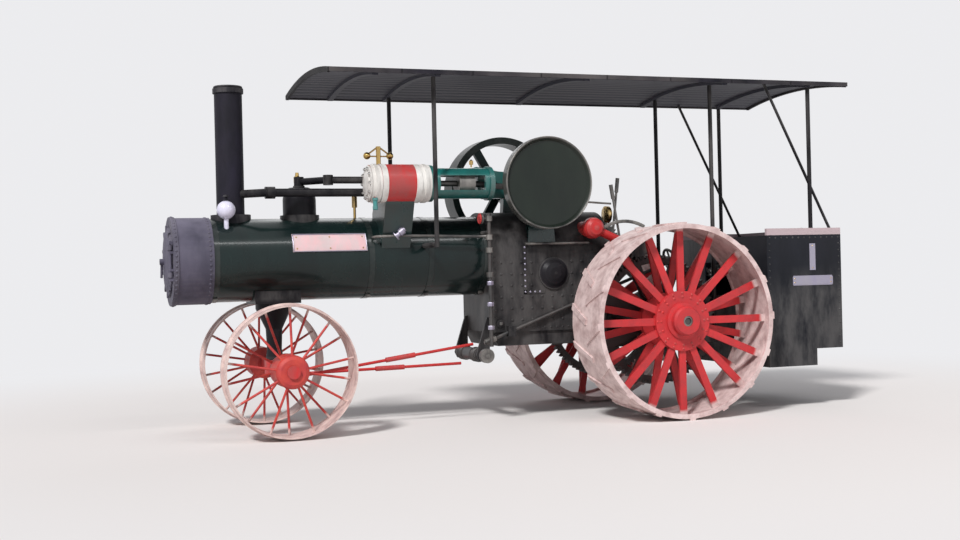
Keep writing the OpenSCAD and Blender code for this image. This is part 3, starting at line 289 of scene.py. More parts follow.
@dataclass(frozen=True)
class Finish:
    """A surface with mottled colour, a dusting on upward faces that also paints their top
    lighter, optional painted shade below a height, worn edges, uneven gloss and a fine grain.
    """

    name: str
    colour: Colour
    second: Colour
    # Colour laid on upward faces: real settled dirt, and also a painted highlight that makes tops
    # lighter.
    dust: Colour = (0.42, 0.33, 0.28)
    dust_and_top_light_amount: float = 0.25
    wear: Colour = (0.2, 0.19, 0.18)
    wear_amount: float = 0.3
    metallic: float = 0.0
    rough: Range = (0.3, 0.55)
    mottle: float = 6.0
    mottle_layers: Range = (5.0, 0.62)
    paint_range: Range = (0.35, 0.68)
    blotch: float = 0.35
    blotch_layers: Range = (3.0, 0.55)
    blotch_range: Range = (0.35, 0.75)
    dust_and_top_light_gain: float = 1.6
    edge_range: Range = (0.515, 0.56)
    ragged_range: Range = (0.35, 0.6)
    grain: float = 160.0
    grain_layers: Range = (3.0, 0.6)
    bump: float = 0.12
    coat: float = 0.0
    coat_rough: float = 0.12
    streak: tuple[float, float, float] = (1.0, 1.0, 0.35)
    # Painted shade: below this height the paint turns darker, as the shade under the cylinder.
    painted_shade_below: float = 0.0
    painted_shade_blur: float = 0.06
    painted_shade_share: float = 0.85
    specular: float = 0.5
    seam: float = 0.0
    seam_width: Range = (0.009, 0.004)
    seam_share: float = 0.8

    def material(self) -> bpy.types.Material:
        """Builds the node tree, once.

        Returns:
            The material with this finish's name.
        """
        made = bpy.data.materials.get(self.name)
        if made:
            return made
        made = bpy.data.materials.new(self.name)
        made.use_nodes = True
        made.node_tree.nodes.clear()
        nodes = Nodes(made.node_tree)
        place = nodes.add("TexCoord").outputs["Object"]
        stretch = nodes.add("Mapping", {"Scale": self.streak}, {"Vector": place})
        mottle = nodes.noise(stretch.outputs["Vector"], self.mottle, *self.mottle_layers)
        grain = nodes.noise(place, self.grain, *self.grain_layers)
        colour = nodes.mix(nodes.ramp(mottle, *self.paint_range), self.colour, self.second)
        colour = self.aged(nodes, colour, place, mottle)
        nodes.surface(colour, mottle, grain, self.rough, self.bump, {
            "Metallic": self.metallic, "Specular IOR Level": self.specular,
            "Coat Weight": self.coat, "Coat Roughness": self.coat_rough})
        return made

    def aged(self, nodes: Nodes, colour: Socket, place: Socket, mottle: Socket) -> Socket:
        """Lays a dusting that also paints upward faces lighter, worn edges, painted shade below a
        height and seams over the paint.

        Args:
            nodes: the material's nodes.
            colour: the paint.
            place: the place on the object.
            mottle: the paint's coarse pattern.

        Returns:
            The aged colour.
        """
        shape = nodes.add("NewGeometry").outputs
        # Upward faces take more of the dusting colour: partly settled dirt, partly a painted
        # lighter top.
        upward = nodes.math("MULTIPLY_ADD", nodes.split(shape["Normal"])["Z"], 0.5, 0.5)
        blotch = nodes.noise(place, self.mottle * self.blotch, *self.blotch_layers)
        patchy = nodes.math("MULTIPLY", nodes.ramp(blotch, *self.blotch_range), upward)
        dust_and_top_light_share = nodes.math("MULTIPLY", patchy, self.dust_and_top_light_amount * self.dust_and_top_light_gain)
        colour = nodes.mix(dust_and_top_light_share, colour, self.dust)
        edge = nodes.ramp(shape["Pointiness"], *self.edge_range)
        ragged = nodes.math("MULTIPLY", edge, nodes.ramp(mottle, *self.ragged_range))
        colour = nodes.mix(nodes.math("MULTIPLY", ragged, self.wear_amount), colour, self.wear)
        # Painted shade: darker below a set height, standing in for the shade under the cylinder.
        if self.painted_shade_below > 0.0:
            low = nodes.ramp(nodes.split(place)["Z"], self.painted_shade_below + self.painted_shade_blur,
                             self.painted_shade_below - self.painted_shade_blur)
            colour = nodes.mix(nodes.math("MULTIPLY", low, self.painted_shade_share), colour, PAINTED_SHADE)
        if self.seam > 0.0:
            near = nodes.math("PINGPONG", nodes.split(place)["X"], self.seam / 2)
            line = nodes.ramp(near, *self.seam_width)
            colour = nodes.mix(nodes.math("MULTIPLY", line, self.seam_share), colour, self.wear)
        return colour


FILM = (0.035, 0.029, 0.027)
# Colour of the painted shade laid low on the engine frame.
PAINTED_SHADE = (0.008, 0.009, 0.01)
JACKET = Finish("jacket_enamel", (0.003, 0.009, 0.009), (0.005, 0.016, 0.015), dust=FILM,
                dust_and_top_light_amount=0.2, rough=(0.16, 0.34), specular=0.2, mottle=3.0, coat=0.35,
                wear_amount=0.12, bump=0.05)
# Smokebox: its pale purple-grey on upward faces is partly settled ash, partly a painted highlight
# on the lit top.
SMOKEBOX = Finish("smokebox_burnt_paint", (0.032, 0.029, 0.052), (0.08, 0.071, 0.11),
                  dust=(0.24, 0.22, 0.29), dust_and_top_light_amount=0.4, rough=(0.6, 0.85), bump=0.3,
                  wear_amount=0.2)
BLACK = Finish("black_enamel", (0.006, 0.006, 0.008), (0.013, 0.012, 0.016), dust=FILM,
               dust_and_top_light_amount=0.3, rough=(0.3, 0.5), specular=0.15)
STACK = Finish("stack_black", (0.008, 0.008, 0.012), (0.02, 0.018, 0.03), dust=FILM,
               dust_and_top_light_amount=0.2, rough=(0.45, 0.7), specular=0.15)
RED = Finish("red_enamel", (0.6, 0.022, 0.022), (0.44, 0.016, 0.018), dust=(0.3, 0.14, 0.13),
             dust_and_top_light_amount=0.14, rough=(0.28, 0.5), specular=0.3, coat=0.08)
# Engine frame: below 1.93 m its green turns to painted shade, the shade under the cylinder and
# guide.
GREEN = Finish("engine_green", (0.012, 0.16, 0.145), (0.008, 0.095, 0.085), dust=FILM,
               dust_and_top_light_amount=0.15, rough=(0.2, 0.4), coat=0.3, painted_shade_below=1.93)
OLIVE = Finish("guard_enamel", (0.008, 0.013, 0.01), (0.013, 0.02, 0.014), dust=FILM,
               dust_and_top_light_amount=0.15, rough=(0.16, 0.3), coat=0.3, mottle=3.0, wear_amount=0.6,
               specular=0.2)
TEAL = Finish("teal_enamel", (0.05, 0.28, 0.27), (0.03, 0.2, 0.19), rough=(0.25, 0.4),
              dust_and_top_light_amount=0.1)
BRIGHT = Finish("bright_steel", (0.66, 0.65, 0.63), (0.5, 0.48, 0.46), metallic=0.9,
                rough=(0.18, 0.38), dust_and_top_light_amount=0.08, wear_amount=0.1)
COVER = Finish("whitened_cover", (0.82, 0.8, 0.76), (0.66, 0.62, 0.58), rough=(0.25, 0.45),
               dust_and_top_light_amount=0.1)
STEEL = Finish("oily_steel", (0.05, 0.05, 0.052), (0.11, 0.1, 0.095), dust=FILM, metallic=0.6,
               rough=(0.32, 0.6), dust_and_top_light_amount=0.2, wear=(0.4, 0.38, 0.35), wear_amount=0.5)
BRASS = Finish("polished_brass", (0.66, 0.45, 0.16), (0.5, 0.33, 0.11), metallic=1.0,
               rough=(0.15, 0.32), dust_and_top_light_amount=0.05)
PANEL = Finish("faded_panel", (0.76, 0.47, 0.49), (0.84, 0.68, 0.69), rough=(0.4, 0.6),
               dust_and_top_light_amount=0.2, mottle=14.0)
PALE = Finish("weathered_board", (0.5, 0.37, 0.41), (0.64, 0.5, 0.53), rough=(0.6, 0.85),
              bump=0.4, grain=90.0, dust_and_top_light_amount=0.3, streak=(0.15, 1.0, 1.0))
CANOPY = Finish("canopy_paint", (0.007, 0.007, 0.012), (0.02, 0.018, 0.028),
                dust=(0.15, 0.13, 0.13), rough=(0.5, 0.75), bump=0.25, specular=0.12,
                streak=(0.5, 1.0, 1.0), dust_and_top_light_amount=0.45, mottle=4.0)
ROOF = Finish("roof_sheet", (0.006, 0.006, 0.01), (0.028, 0.025, 0.034), dust=(0.2, 0.18, 0.17),
              rough=(0.5, 0.8), bump=0.3, specular=0.15, streak=(1.0, 0.3, 1.0),
              dust_and_top_light_amount=0.55, mottle=5.0, seam=0.605, wear=(0.004, 0.004, 0.005),
              wear_amount=0.0)
TANK = Finish("tank_enamel", (0.006, 0.007, 0.011), (0.011, 0.012, 0.018), dust=FILM,
              rough=(0.22, 0.42), coat=0.08, dust_and_top_light_amount=0.08, specular=0.15)
PLATE = Finish("blank_plate", (0.3, 0.28, 0.39), (0.43, 0.41, 0.51), metallic=0.5,
               rough=(0.3, 0.5))
# Headlamp and water glass: the blue tint in this white is a painted reflection of the sky.
LAMP = Finish("lamp_enamel_painted_sky_tint", (0.72, 0.7, 0.84), (0.6, 0.58, 0.74), rough=(0.15, 0.3), coat=0.4,
              dust_and_top_light_amount=0.08)
COAL = Finish("coal", (0.004, 0.004, 0.005), (0.012, 0.012, 0.014), rough=(0.2, 0.5),
              dust_and_top_light_amount=0.06, mottle=40.0)
# Flywheel: dark green standing in as painted shade, since it lies in shade under the canopy; its
# own colour is not known.
FLYWHEEL = Finish("flywheel_painted_shade", (0.006, 0.02, 0.018), (0.01, 0.034, 0.03), dust=FILM,
                  rough=(0.25, 0.45), dust_and_top_light_amount=0.1, coat=0.1, specular=0.15)


@dataclass(frozen=True)
class WheelFinish:
    """A wheel with a tread worn pale, whose spokes and hub keep their red."""

    name: str
    centre: Point
    rim_radius: float
    red: Colour = (0.58, 0.024, 0.028)
    dull_red: Colour = (0.4, 0.03, 0.035)
    tread: Colour = (0.74, 0.58, 0.56)
    tread_dark: Colour = (0.42, 0.28, 0.27)
    mottle: float = 9.0
    mottle_layers: Range = (6.0, 0.65)
    grain: float = 130.0
    grain_layers: Range = (3.0, 0.6)
    red_range: Range = (0.35, 0.68)
    tread_range: Range = (0.4, 0.7)
    ragged: Range = (0.06, -0.03)
    rim_fade: Range = (0.06, 0.03)
    gear: float = 0.0
    gear_half: float = 0.036
    gear_inside: Range = (0.19, 0.2)
    gear_colour: Colour = (0.055, 0.045, 0.045)
    rough: Range = (0.38, 0.72)
    bump: float = 0.3

    def material(self) -> bpy.types.Material:
        """Builds the node tree, in which the distance from the hub parts spokes and tread.

        Returns:
            The material.
        """
        made = bpy.data.materials.new(self.name)
        made.use_nodes = True
        made.node_tree.nodes.clear()
        nodes = Nodes(made.node_tree)
        move = nodes.add("Mapping", {"Location": tuple(-c for c in self.centre)},
                         {"Vector": nodes.add("TexCoord").outputs["Object"]}).outputs["Vector"]
        parts = nodes.split(move)
        squares = [nodes.math("MULTIPLY", parts[axis], parts[axis]) for axis in ("X", "Z")]
        away = nodes.math("SQRT", nodes.math("ADD", *squares))
        mottle = nodes.noise(move, self.mottle, *self.mottle_layers)
        red = nodes.mix(nodes.ramp(mottle, *self.red_range), self.red, self.dull_red)
        pale = nodes.mix(nodes.ramp(mottle, *self.tread_range), self.tread, self.tread_dark)
        ragged = nodes.math("ADD", away, nodes.math("MULTIPLY_ADD", mottle, *self.ragged))
        on_rim = nodes.ramp(ragged, *(self.rim_radius - fade for fade in self.rim_fade))
        colour = nodes.mix(on_rim, red, pale)
        if self.gear:
            across = nodes.math("COMPARE", nodes.math("ABSOLUTE", parts["Y"]), self.gear,
                                self.gear_half)
            on_gear = nodes.math("MULTIPLY", across, nodes.ramp(away, *self.gear_inside))
            colour = nodes.mix(on_gear, colour, self.gear_colour)
        grain = nodes.noise(move, self.grain, *self.grain_layers)
        nodes.surface(colour, mottle, grain, self.rough, self.bump, {})
        return made


class Workshop:
    """The hand operations that every sub-assembly uses to make its pieces."""

    @staticmethod
    def clear() -> None:
        """Leaves edit mode and deselects everything."""
        if bpy.context.object and bpy.context.object.mode != "OBJECT":
            bpy.ops.object.mode_set(mode="OBJECT")
        bpy.ops.object.select_all(action="DESELECT")

    @staticmethod
    def take(piece: Piece) -> None:
        """Makes one piece the only selected and active one.

        Args:
            piece: the piece.
        """
        Workshop.clear()
        piece.select_set(True)
        bpy.context.view_layer.objects.active = piece

    @staticmethod
    def settle(piece: Piece, matrix: Matrix) -> Piece:
        """Moves a piece by a matrix and puts the place into its mesh.

        Args:
            piece: the piece, as modelled about the origin.
            matrix: where it goes.

        Returns:
            The same piece.
        """
        Workshop.take(piece)
        piece.matrix_world = matrix
        bpy.ops.object.transform_apply(location=True, rotation=True, scale=True)
        return piece

    @staticmethod
    def smooth(degrees: float) -> None:
        """Shades the active piece smooth but for edges sharper than an angle."""
        bpy.ops.object.shade_smooth_by_angle(angle=math.radians(degrees))

    @staticmethod
    def edit(name: str) -> Piece:
        """Names the primitive just added and opens it for editing, all selected.

        Args:
            name: the piece's name.

        Returns:
            The piece.
        """
        piece = bpy.context.object
        piece.name = name
        bpy.ops.object.mode_set(mode="EDIT")
        bpy.ops.mesh.select_all(action="SELECT")
        return piece

    @staticmethod
    def turned(name: str, steps: Profile, vertices: int = 32) -> Piece:
        """Turns a round piece about Z from a disc that is extruded and scaled step by step.

        Args:
            name: the piece's name.
            steps: height and radius of each step, from the bottom up.
            vertices: how many sides the disc has.

        Returns:
            The piece, about the origin.
        """
        Workshop.clear()
        z, radius = steps[0]
        bpy.ops.mesh.primitive_circle_add(vertices=vertices, radius=radius, fill_type="NGON",
                                          location=(0, 0, 0))
        piece = Workshop.edit(name)
        bpy.ops.transform.translate(value=(0, 0, z))
        for next_z, next_radius in steps[1:]:
            rise = (0, 0, next_z - z)
            bpy.ops.mesh.extrude_region_move(TRANSFORM_OT_translate={"value": rise})
            factor = next_radius / radius
            bpy.ops.transform.resize(value=(factor, factor, 1), center_override=(0, 0, next_z))
            z, radius = next_z, next_radius
        bpy.ops.mesh.select_all(action="SELECT")
        bpy.ops.mesh.normals_make_consistent(inside=False)
        bpy.ops.object.mode_set(mode="OBJECT")
        Workshop.smooth(35)
        return piece

    @staticmethod
    def slab(name: str, size: Point, bevel: float = 0.002) -> Piece:
        """Shapes a cube to a size and rounds its edges.

        Args:
            name: the piece's name.
            size: its length, width and height.
            bevel: how far its edges are rounded.

        Returns:
            The piece, about the origin.
        """
        Workshop.clear()
        bpy.ops.mesh.primitive_cube_add(size=1, location=(0, 0, 0))
        piece = Workshop.edit(name)
        bpy.ops.transform.resize(value=size, center_override=(0, 0, 0))
        if bevel > 0:
            bpy.ops.mesh.bevel(offset=bevel, segments=2, affect="EDGES")
        bpy.ops.object.mode_set(mode="OBJECT")
        return piece

    @staticmethod
    def tube(name: str, points: list[Point], radius: float, sides: int = 6) -> Piece:
        """Bends a round bar along points.

        Args:
            name: the piece's name.
            points: the places it passes, in the frame.
            radius: its radius.
            sides: the curve's bevel resolution.

        Returns:
            The bar as a mesh in place.
        """
        Workshop.clear()
        bpy.ops.curve.primitive_nurbs_path_add(location=(0, 0, 0))
        piece = bpy.context.object
        piece.name = name
        curve = piece.data
        curve.splines.clear()
        spline = curve.splines.new("POLY")
        spline.points.add(len(points) - 1)
        for point, place in zip(spline.points, points):
            point.co = (*place, 1)
        curve.bevel_depth = radius
        curve.bevel_resolution = sides
        curve.use_fill_caps = True
        bpy.ops.object.convert(target="MESH")
        Workshop.smooth(40)
        return bpy.context.object

    @staticmethod
    def hoop(name: str, radius: float, thickness: float, around: int, sides: int) -> Piece:
        """Spins a small circle about Z into a rolled edge or rim.

        Args:
            name: the piece's name.
            radius: from the hoop's middle to the small circle's.
            thickness: the small circle's radius.
            around: how many steps go round.
            sides: how many sides the small circle has.

        Returns:
            The hoop, about the origin.
        """
        Workshop.clear()
        bpy.ops.mesh.primitive_circle_add(vertices=sides, radius=thickness,
                                          location=(radius, 0, 0), rotation=(math.pi / 2, 0, 0))
        bpy.ops.object.transform_apply(location=True, rotation=True, scale=True)
        piece = Workshop.edit(name)
        bpy.ops.mesh.spin(steps=around, angle=2 * math.pi, center=(0, 0, 0), axis=(0, 0, 1))
        bpy.ops.mesh.select_all(action="SELECT")
        bpy.ops.mesh.remove_doubles(threshold=1e-5)
        bpy.ops.mesh.normals_make_consistent(inside=False)
        bpy.ops.object.mode_set(mode="OBJECT")
        Workshop.smooth(60)
        return piece

    @staticmethod
    def rivet(radius: float, height: float = 0.55) -> Piece:
        """Models one round head that stands on the XY plane.

        Args:
            radius: its radius.
            height: how high it stands, as a share of its radius.

        Returns:
            The head, about the origin.
        """
        Workshop.clear()
        bpy.ops.mesh.primitive_uv_sphere_add(segments=8, ring_count=6, radius=radius,
                                             location=(0, 0, 0))
        piece = Workshop.edit("rivet")
        bpy.ops.mesh.bisect(plane_co=(0, 0, -radius * 0.1), plane_no=(0, 0, 1), clear_inner=True)
        bpy.ops.mesh.select_all(action="SELECT")
        bpy.ops.transform.resize(value=(1, 1, height), center_override=(0, 0, 0))
        bpy.ops.object.mode_set(mode="OBJECT")
        return piece

    @staticmethod
    def nut(radius: float, height: float) -> Piece:
        """Models one hexagon nut with its bolt's end standing out.

        Args:
            radius: from its middle to its corners.
            height: its height without the bolt.

        Returns:
            The nut, about the origin.
        """
        steps = [(0, radius), (height * 0.85, radius), (height, radius * 0.86),
                 (height + 0.0005, radius * 0.5), (height * 1.5, radius * 0.46)]
        return Workshop.turned("nut", steps, 6)

    @staticmethod
    def spread(name: str, pattern: Piece, places: list[Matrix]) -> Piece:
        """Copies one small piece to many places and joins the copies.

        Args:
            name: the name of the joined piece.
            pattern: the small piece, about the origin; it is used up.
            places: one matrix a copy.

        Returns:
            The joined piece in place.
        """
        Workshop.clear()
        mesh = pattern.data
        count = len(mesh.vertices)
        base = np.empty(count * 3)
        mesh.vertices.foreach_get("co", base)
        base = np.c_[base.reshape(-1, 3), np.ones(count)]
        faces = [tuple(face.vertices) for face in mesh.polygons]
        points = np.concatenate([(base @ np.array(place).T)[:, :3] for place in places])
        copies = [tuple(corner + k * count for corner in face)
                  for k in range(len(places)) for face in faces]
        joined = bpy.data.meshes.new(name)
        joined.from_pydata(points.tolist(), [], copies)
        bpy.data.objects.remove(pattern)
        piece = bpy.data.objects.new(name, joined)
        bpy.context.scene.collection.objects.link(piece)
        Workshop.take(piece)
        Workshop.smooth(40)
        return piece

    @staticmethod
    def join(name: str, parts: list[Piece]) -> Piece:
        """Joins several pieces into one.

        Args:
            name: the joined piece's name.
            parts: what is joined.

        Returns:
            The joined piece.
        """
        Workshop.clear()
        for part in parts:
            part.select_set(True)
        bpy.context.view_layer.objects.active = parts[0]
        bpy.ops.object.join()
        parts[0].name = name
        return parts[0]

    @staticmethod
    def hand_over(piece: Piece, finish: Finish, slot: Slot, body: str = "chassis") -> Piece:
        """Dresses a finished piece, lets it ride on its body and reports it.

        Args:
            piece: the finished piece.
            finish: its surface.
            slot: the record's material slot it belongs to; not used.
            body: the body it moves with.

        Returns:
            The same piece.
        """
        piece.data.materials.clear()
        piece.data.materials.append(finish.material())
        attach(piece, body)
        LOG.info("%s on %s, %d faces", piece.name, body, len(piece.data.polygons))
        return piece

    @staticmethod
    def scatter(name: str, pattern: Piece, places: list[Matrix], finish: Finish, slot: Slot,
                body: str = "chassis") -> Piece:
        """Copies a small piece to many places and hands the joined copies over.

        Args:
            name: the name of the joined piece.
            pattern: the small piece, about the origin; it is used up.
            places: one matrix a copy.
            finish: its surface.
            slot: the record's material slot it belongs to.
            body: the body it moves with.

        Returns:
            The joined piece.
        """
        return Workshop.hand_over(Workshop.spread(name, pattern, places), finish, slot, body)

    @staticmethod
    def set_up(piece: Piece, place: Matrix, finish: Finish, slot: Slot) -> Piece:
        """Settles a piece of the chassis in its place and hands it over.

        Args:
            piece: the piece, about the origin.
            place: where it goes.
            finish: its surface.
            slot: the record's material slot it belongs to.

        Returns:
            The same piece.
        """
        return Workshop.hand_over(Workshop.settle(piece, place), finish, slot)

    @staticmethod
    def coat(node: str, material: bpy.types.Material) -> None:
        """Gives one solid of the frame its material.

        Args:
            node: the solid's name.
            material: its only material.
        """
        solid = frame["nodes"][node]
        solid.data.materials.clear()
        solid.data.materials.append(material)


@dataclass(frozen=True)
class Solids:
    """Finishes of the solids that keep their own shape."""

    coats: tuple[tuple[Finish, str], ...] = (
        (JACKET, "boiler"),
        (SMOKEBOX, "smokebox smokebox_door"),
        (STACK, "stack"),
        (BLACK, "steam_dome firebox ashpan fire_door steam_pipe exhaust_pipe feed_pump_cover"),
        (BLACK, "front_pedestal roller_brackets frame_rails platform drawbar canopy_posts"),
        (BRASS, "whistle governor"),
        (RED, "engine_cylinder front_axle steering_rod_left steering_rod_right shaft_arms"),
        (GREEN, "engine_frame"),
        (OLIVE, "crank_guard"),
        (FLYWHEEL, "flywheel"),
        (STEEL, "connecting_rod crankshaft feed_pipe side_bar chain_roller steering_shaft"),
        (STEEL, "rear_axle pinion_shaft_left pinion_shaft_right idler_gear differential_gear"),
        (PANEL, "name_panel"),
        (LAMP, "headlamp"),
        (TANK, "tank tank_lid"),
        (PALE, "tank_boards"),
        (PLATE, "tank_plate"),
        (ROOF, "canopy_roof"),
        (CANOPY, "canopy_ribs"))

    def build(self) -> None:
        """Gives every solid that keeps its shape its finish."""
        for finish, nodes in self.coats:
            for node in nodes.split():
                Workshop.coat(node, finish.material())


@dataclass(frozen=True)
class BoilerDress:
    """Rivets, clips, bead and dogs on the barrel, smokebox, stack and firebox."""

    barrel_front: float = highest("boiler").x
    barrel_back: float = lowest("boiler").x
    band_half: float = 0.0225
    band_gap: float = 0.5
    long_gap: float = 1.285
    band_top: float = 0.012
    clip_turn: float = 26.0
    smokebox_front: float = 4.14
    smokebox_radius: float = 0.358
    smokebox_rivets: int = 56
    rear_row_in: float = 0.03
    front_row_in: float = 0.02
    front_row_up: float = 0.008
    rivet: float = 0.011
    stay_head: float = 0.013
    edge_rivet: float = 0.01
    clip_size: Point = (0.04, 0.03, 0.018)
    firebox_low: float = lowest("firebox").z
    margin: float = 0.03
    stay_start: float = 0.1
    stay_pitch: Profile = ((0.095, 11), (0.1, 6))
    cover_clear: float = 0.16
    foot_rivets: tuple[float, int] = (0.0565, 20)
    edge_start: float = 0.08
    edge_rivets: tuple[float, int] = (0.052, 12)
    stack_x: float = middle("stack").x
    stack_top: float = highest("stack").z
    bead_circle: float = 0.111
    bead_half: float = 0.009
    dog_degrees: tuple[int, int, int] = (54, 307, 36)
    dog_circle: float = 0.262
    dog_out: float = 0.018
    dog_size: Point = (0.016, 0.07, 0.03)

    def place(self, x: float, radius: float, angle: float) -> Matrix:
        """Gives a place on the boiler's round.

        Args:
            x: station from the rear axle.
            radius: how far from the centre line.
            angle: angle from the left side upwards, in radians.

        Returns:
            The matrix.
        """
        normal = (0.0, math.cos(angle), math.sin(angle))
        return facing(x, radius * normal[1], BOILER_Z + radius * normal[2], normal)

    def rivets(self) -> None:
        """Rivets round both ends of the smokebox."""
        places = []
        for x, radius in (
                (self.barrel_front + self.rear_row_in, self.smokebox_radius),
                (self.smokebox_front - self.front_row_in,
                 self.smokebox_radius + self.front_row_up)):
            places += [self.place(x, radius, math.radians(360.0 * i / self.smokebox_rivets))
                       for i in range(self.smokebox_rivets)]
        Workshop.scatter("smokebox_rivets", Workshop.rivet(self.rivet), places, SMOKEBOX,
                         Slot.SMOKEBOX)

    def band_clips(self) -> None:
        """The bolted clip under each lagging band."""
        first, last = self.barrel_back + self.band_half, self.barrel_front - self.band_half
        places = []
        for x in (first, first + self.band_gap, last - self.long_gap, last):
            for side in Side:
                angle = math.radians(-90 + side.value * self.clip_turn)
                places.append(self.place(x, BOILER_R + self.band_top, angle))
        clip = Workshop.slab("clip", self.clip_size, 0.003)
        Workshop.scatter("band_clips", clip, places, STEEL, Slot.STEEL)

    def stay_heads(self) -> None:
        """Stay-bolt heads in rows on the firebox's sides, and the rivets of its edges."""
        (x_pitch, columns), (z_pitch, rows) = self.stay_pitch
        low, half = self.firebox_low, FIREBOX_HALF
        cover = middle("feed_pump_cover")
        stays, edge = [], []
        for side in Side:
            for x, z in ((FIREBOX_BACK + self.stay_start + i * x_pitch,
                          low + self.stay_start + j * z_pitch)
                         for i in range(columns) for j in range(rows)):
                away = math.hypot(x - cover.x, z - cover.z)
                if side is Side.RIGHT or away >= self.cover_clear:
                    stays.append(facing(x, half * side.value, z, side.out))
            pitch, count = self.foot_rivets
            back = FIREBOX_BACK + self.margin
            edge += [facing(back + i * pitch, half * side.value, low + self.margin, side.out)
                     for i in range(count)]
            pitch, count = self.edge_rivets
            edge += [facing(x, half * side.value, low + self.edge_start + j * pitch, side.out)
                     for j in range(count) for x in (back, self.barrel_back - self.margin)]
        Workshop.scatter("stay_bolt_heads", Workshop.rivet(self.stay_head), stays, BLACK,
                         Slot.BLACK)
        Workshop.scatter("firebox_edge_rivets", Workshop.rivet(self.edge_rivet), edge, BLACK,
                         Slot.BLACK)

    def stack_bead(self) -> None:
        """The rolled bead at the stack's mouth."""
        bead = Workshop.hoop("stack_bead", self.bead_circle, self.bead_half, 48, 10)
        Workshop.set_up(bead, upright(self.stack_x, 0, self.stack_top - self.bead_half), STACK,
                        Slot.BLACK)

    def door_dogs(self) -> None:
        """Dogs round the smokebox door, but for the place of its hinge."""
        places = []
        for degrees in range(*self.dog_degrees):
            angle = math.radians(degrees)
            place = upright(self.smokebox_front + self.dog_out,
                            self.dog_circle * math.cos(angle),
                            BOILER_Z + self.dog_circle * math.sin(angle))
            places.append(place @ Matrix.Rotation(angle, 4, "X"))
        dog = Workshop.slab("dog", self.dog_size, 0.004)
        Workshop.scatter("smokebox_door_dogs", dog, places, SMOKEBOX, Slot.SMOKEBOX,
                         "smokebox_door")

    def build(self) -> None:
        """Makes all the boiler's small pieces."""
        self.rivets()
        self.band_clips()
        self.stay_heads()
        self.stack_bead()
        self.door_dogs()


@dataclass(frozen=True)
class WheelDress:
    """Finish and small pieces of the four wheels."""

    rear_outer: float = highest("rear_wheel_left").y
    rear_spokes: int = 16
    gear_y: float = 0.578
    flange_y: float = 0.096
    rivet: float = 0.012
    flange_circles: Range = (0.205, 0.238)
    rim_depth: float = 0.028
    front_red: Colour = (0.58, 0.06, 0.04)
    front_tread: Colour = (0.72, 0.55, 0.5)
    collar_sunk: float = 0.026
    collar: Profile = ((0, 0.05), (0.012, 0.05), (0.02, 0.044), (0.022, 0.03), (0.012, 0.026))

    def finishes(self) -> None:
        """Dresses the wheels' own solids."""
        for side in Side:
            rear = WheelFinish(f"rear_wheel_paint_{side.word}", at(0, 0, REAR_R),
                               REAR_R - self.rim_depth, gear=self.gear_y)
            front = WheelFinish(f"front_wheel_paint_{side.word}", at(WHEELBASE, 0, FRONT_R),
                                FRONT_R - self.rim_depth, red=self.front_red,
                                tread=self.front_tread)
            Workshop.coat(f"rear_wheel_{side.word}", rear.material())
            Workshop.coat(f"front_wheel_{side.word}", front.material())

    def rear_rivets(self) -> None:
        """Rivets of the spokes in the hub's flange rings."""
        for side in Side:
            y = side.value * (self.rear_outer - self.flange_y)
            places = []
            for i in range(self.rear_spokes):
                angle = 2 * math.pi * i / self.rear_spokes
                places += [facing(r * math.sin(angle), y, REAR_R + r * math.cos(angle), side.out)
                           for r in self.flange_circles]
            Workshop.scatter(f"rear_hub_rivets_{side.word}", Workshop.rivet(self.rivet), places,
                             RED, Slot.RED, f"rear_wheel_{side.word}")

    def collars(self) -> None:
        """A ring and nut in the mouth of each rear hub."""
        for side in Side:
            collar = Workshop.turned(f"rear_axle_collar_{side.word}", self.collar)
            y = side.value * (self.rear_outer - self.collar_sunk)
            Workshop.set_up(collar, facing(0, y, REAR_R, side.out), STEEL, Slot.STEEL)

    def build(self) -> None:
        """Makes the wheels' finishes and pieces."""
        self.finishes()
        self.rear_rivets()
        self.collars()


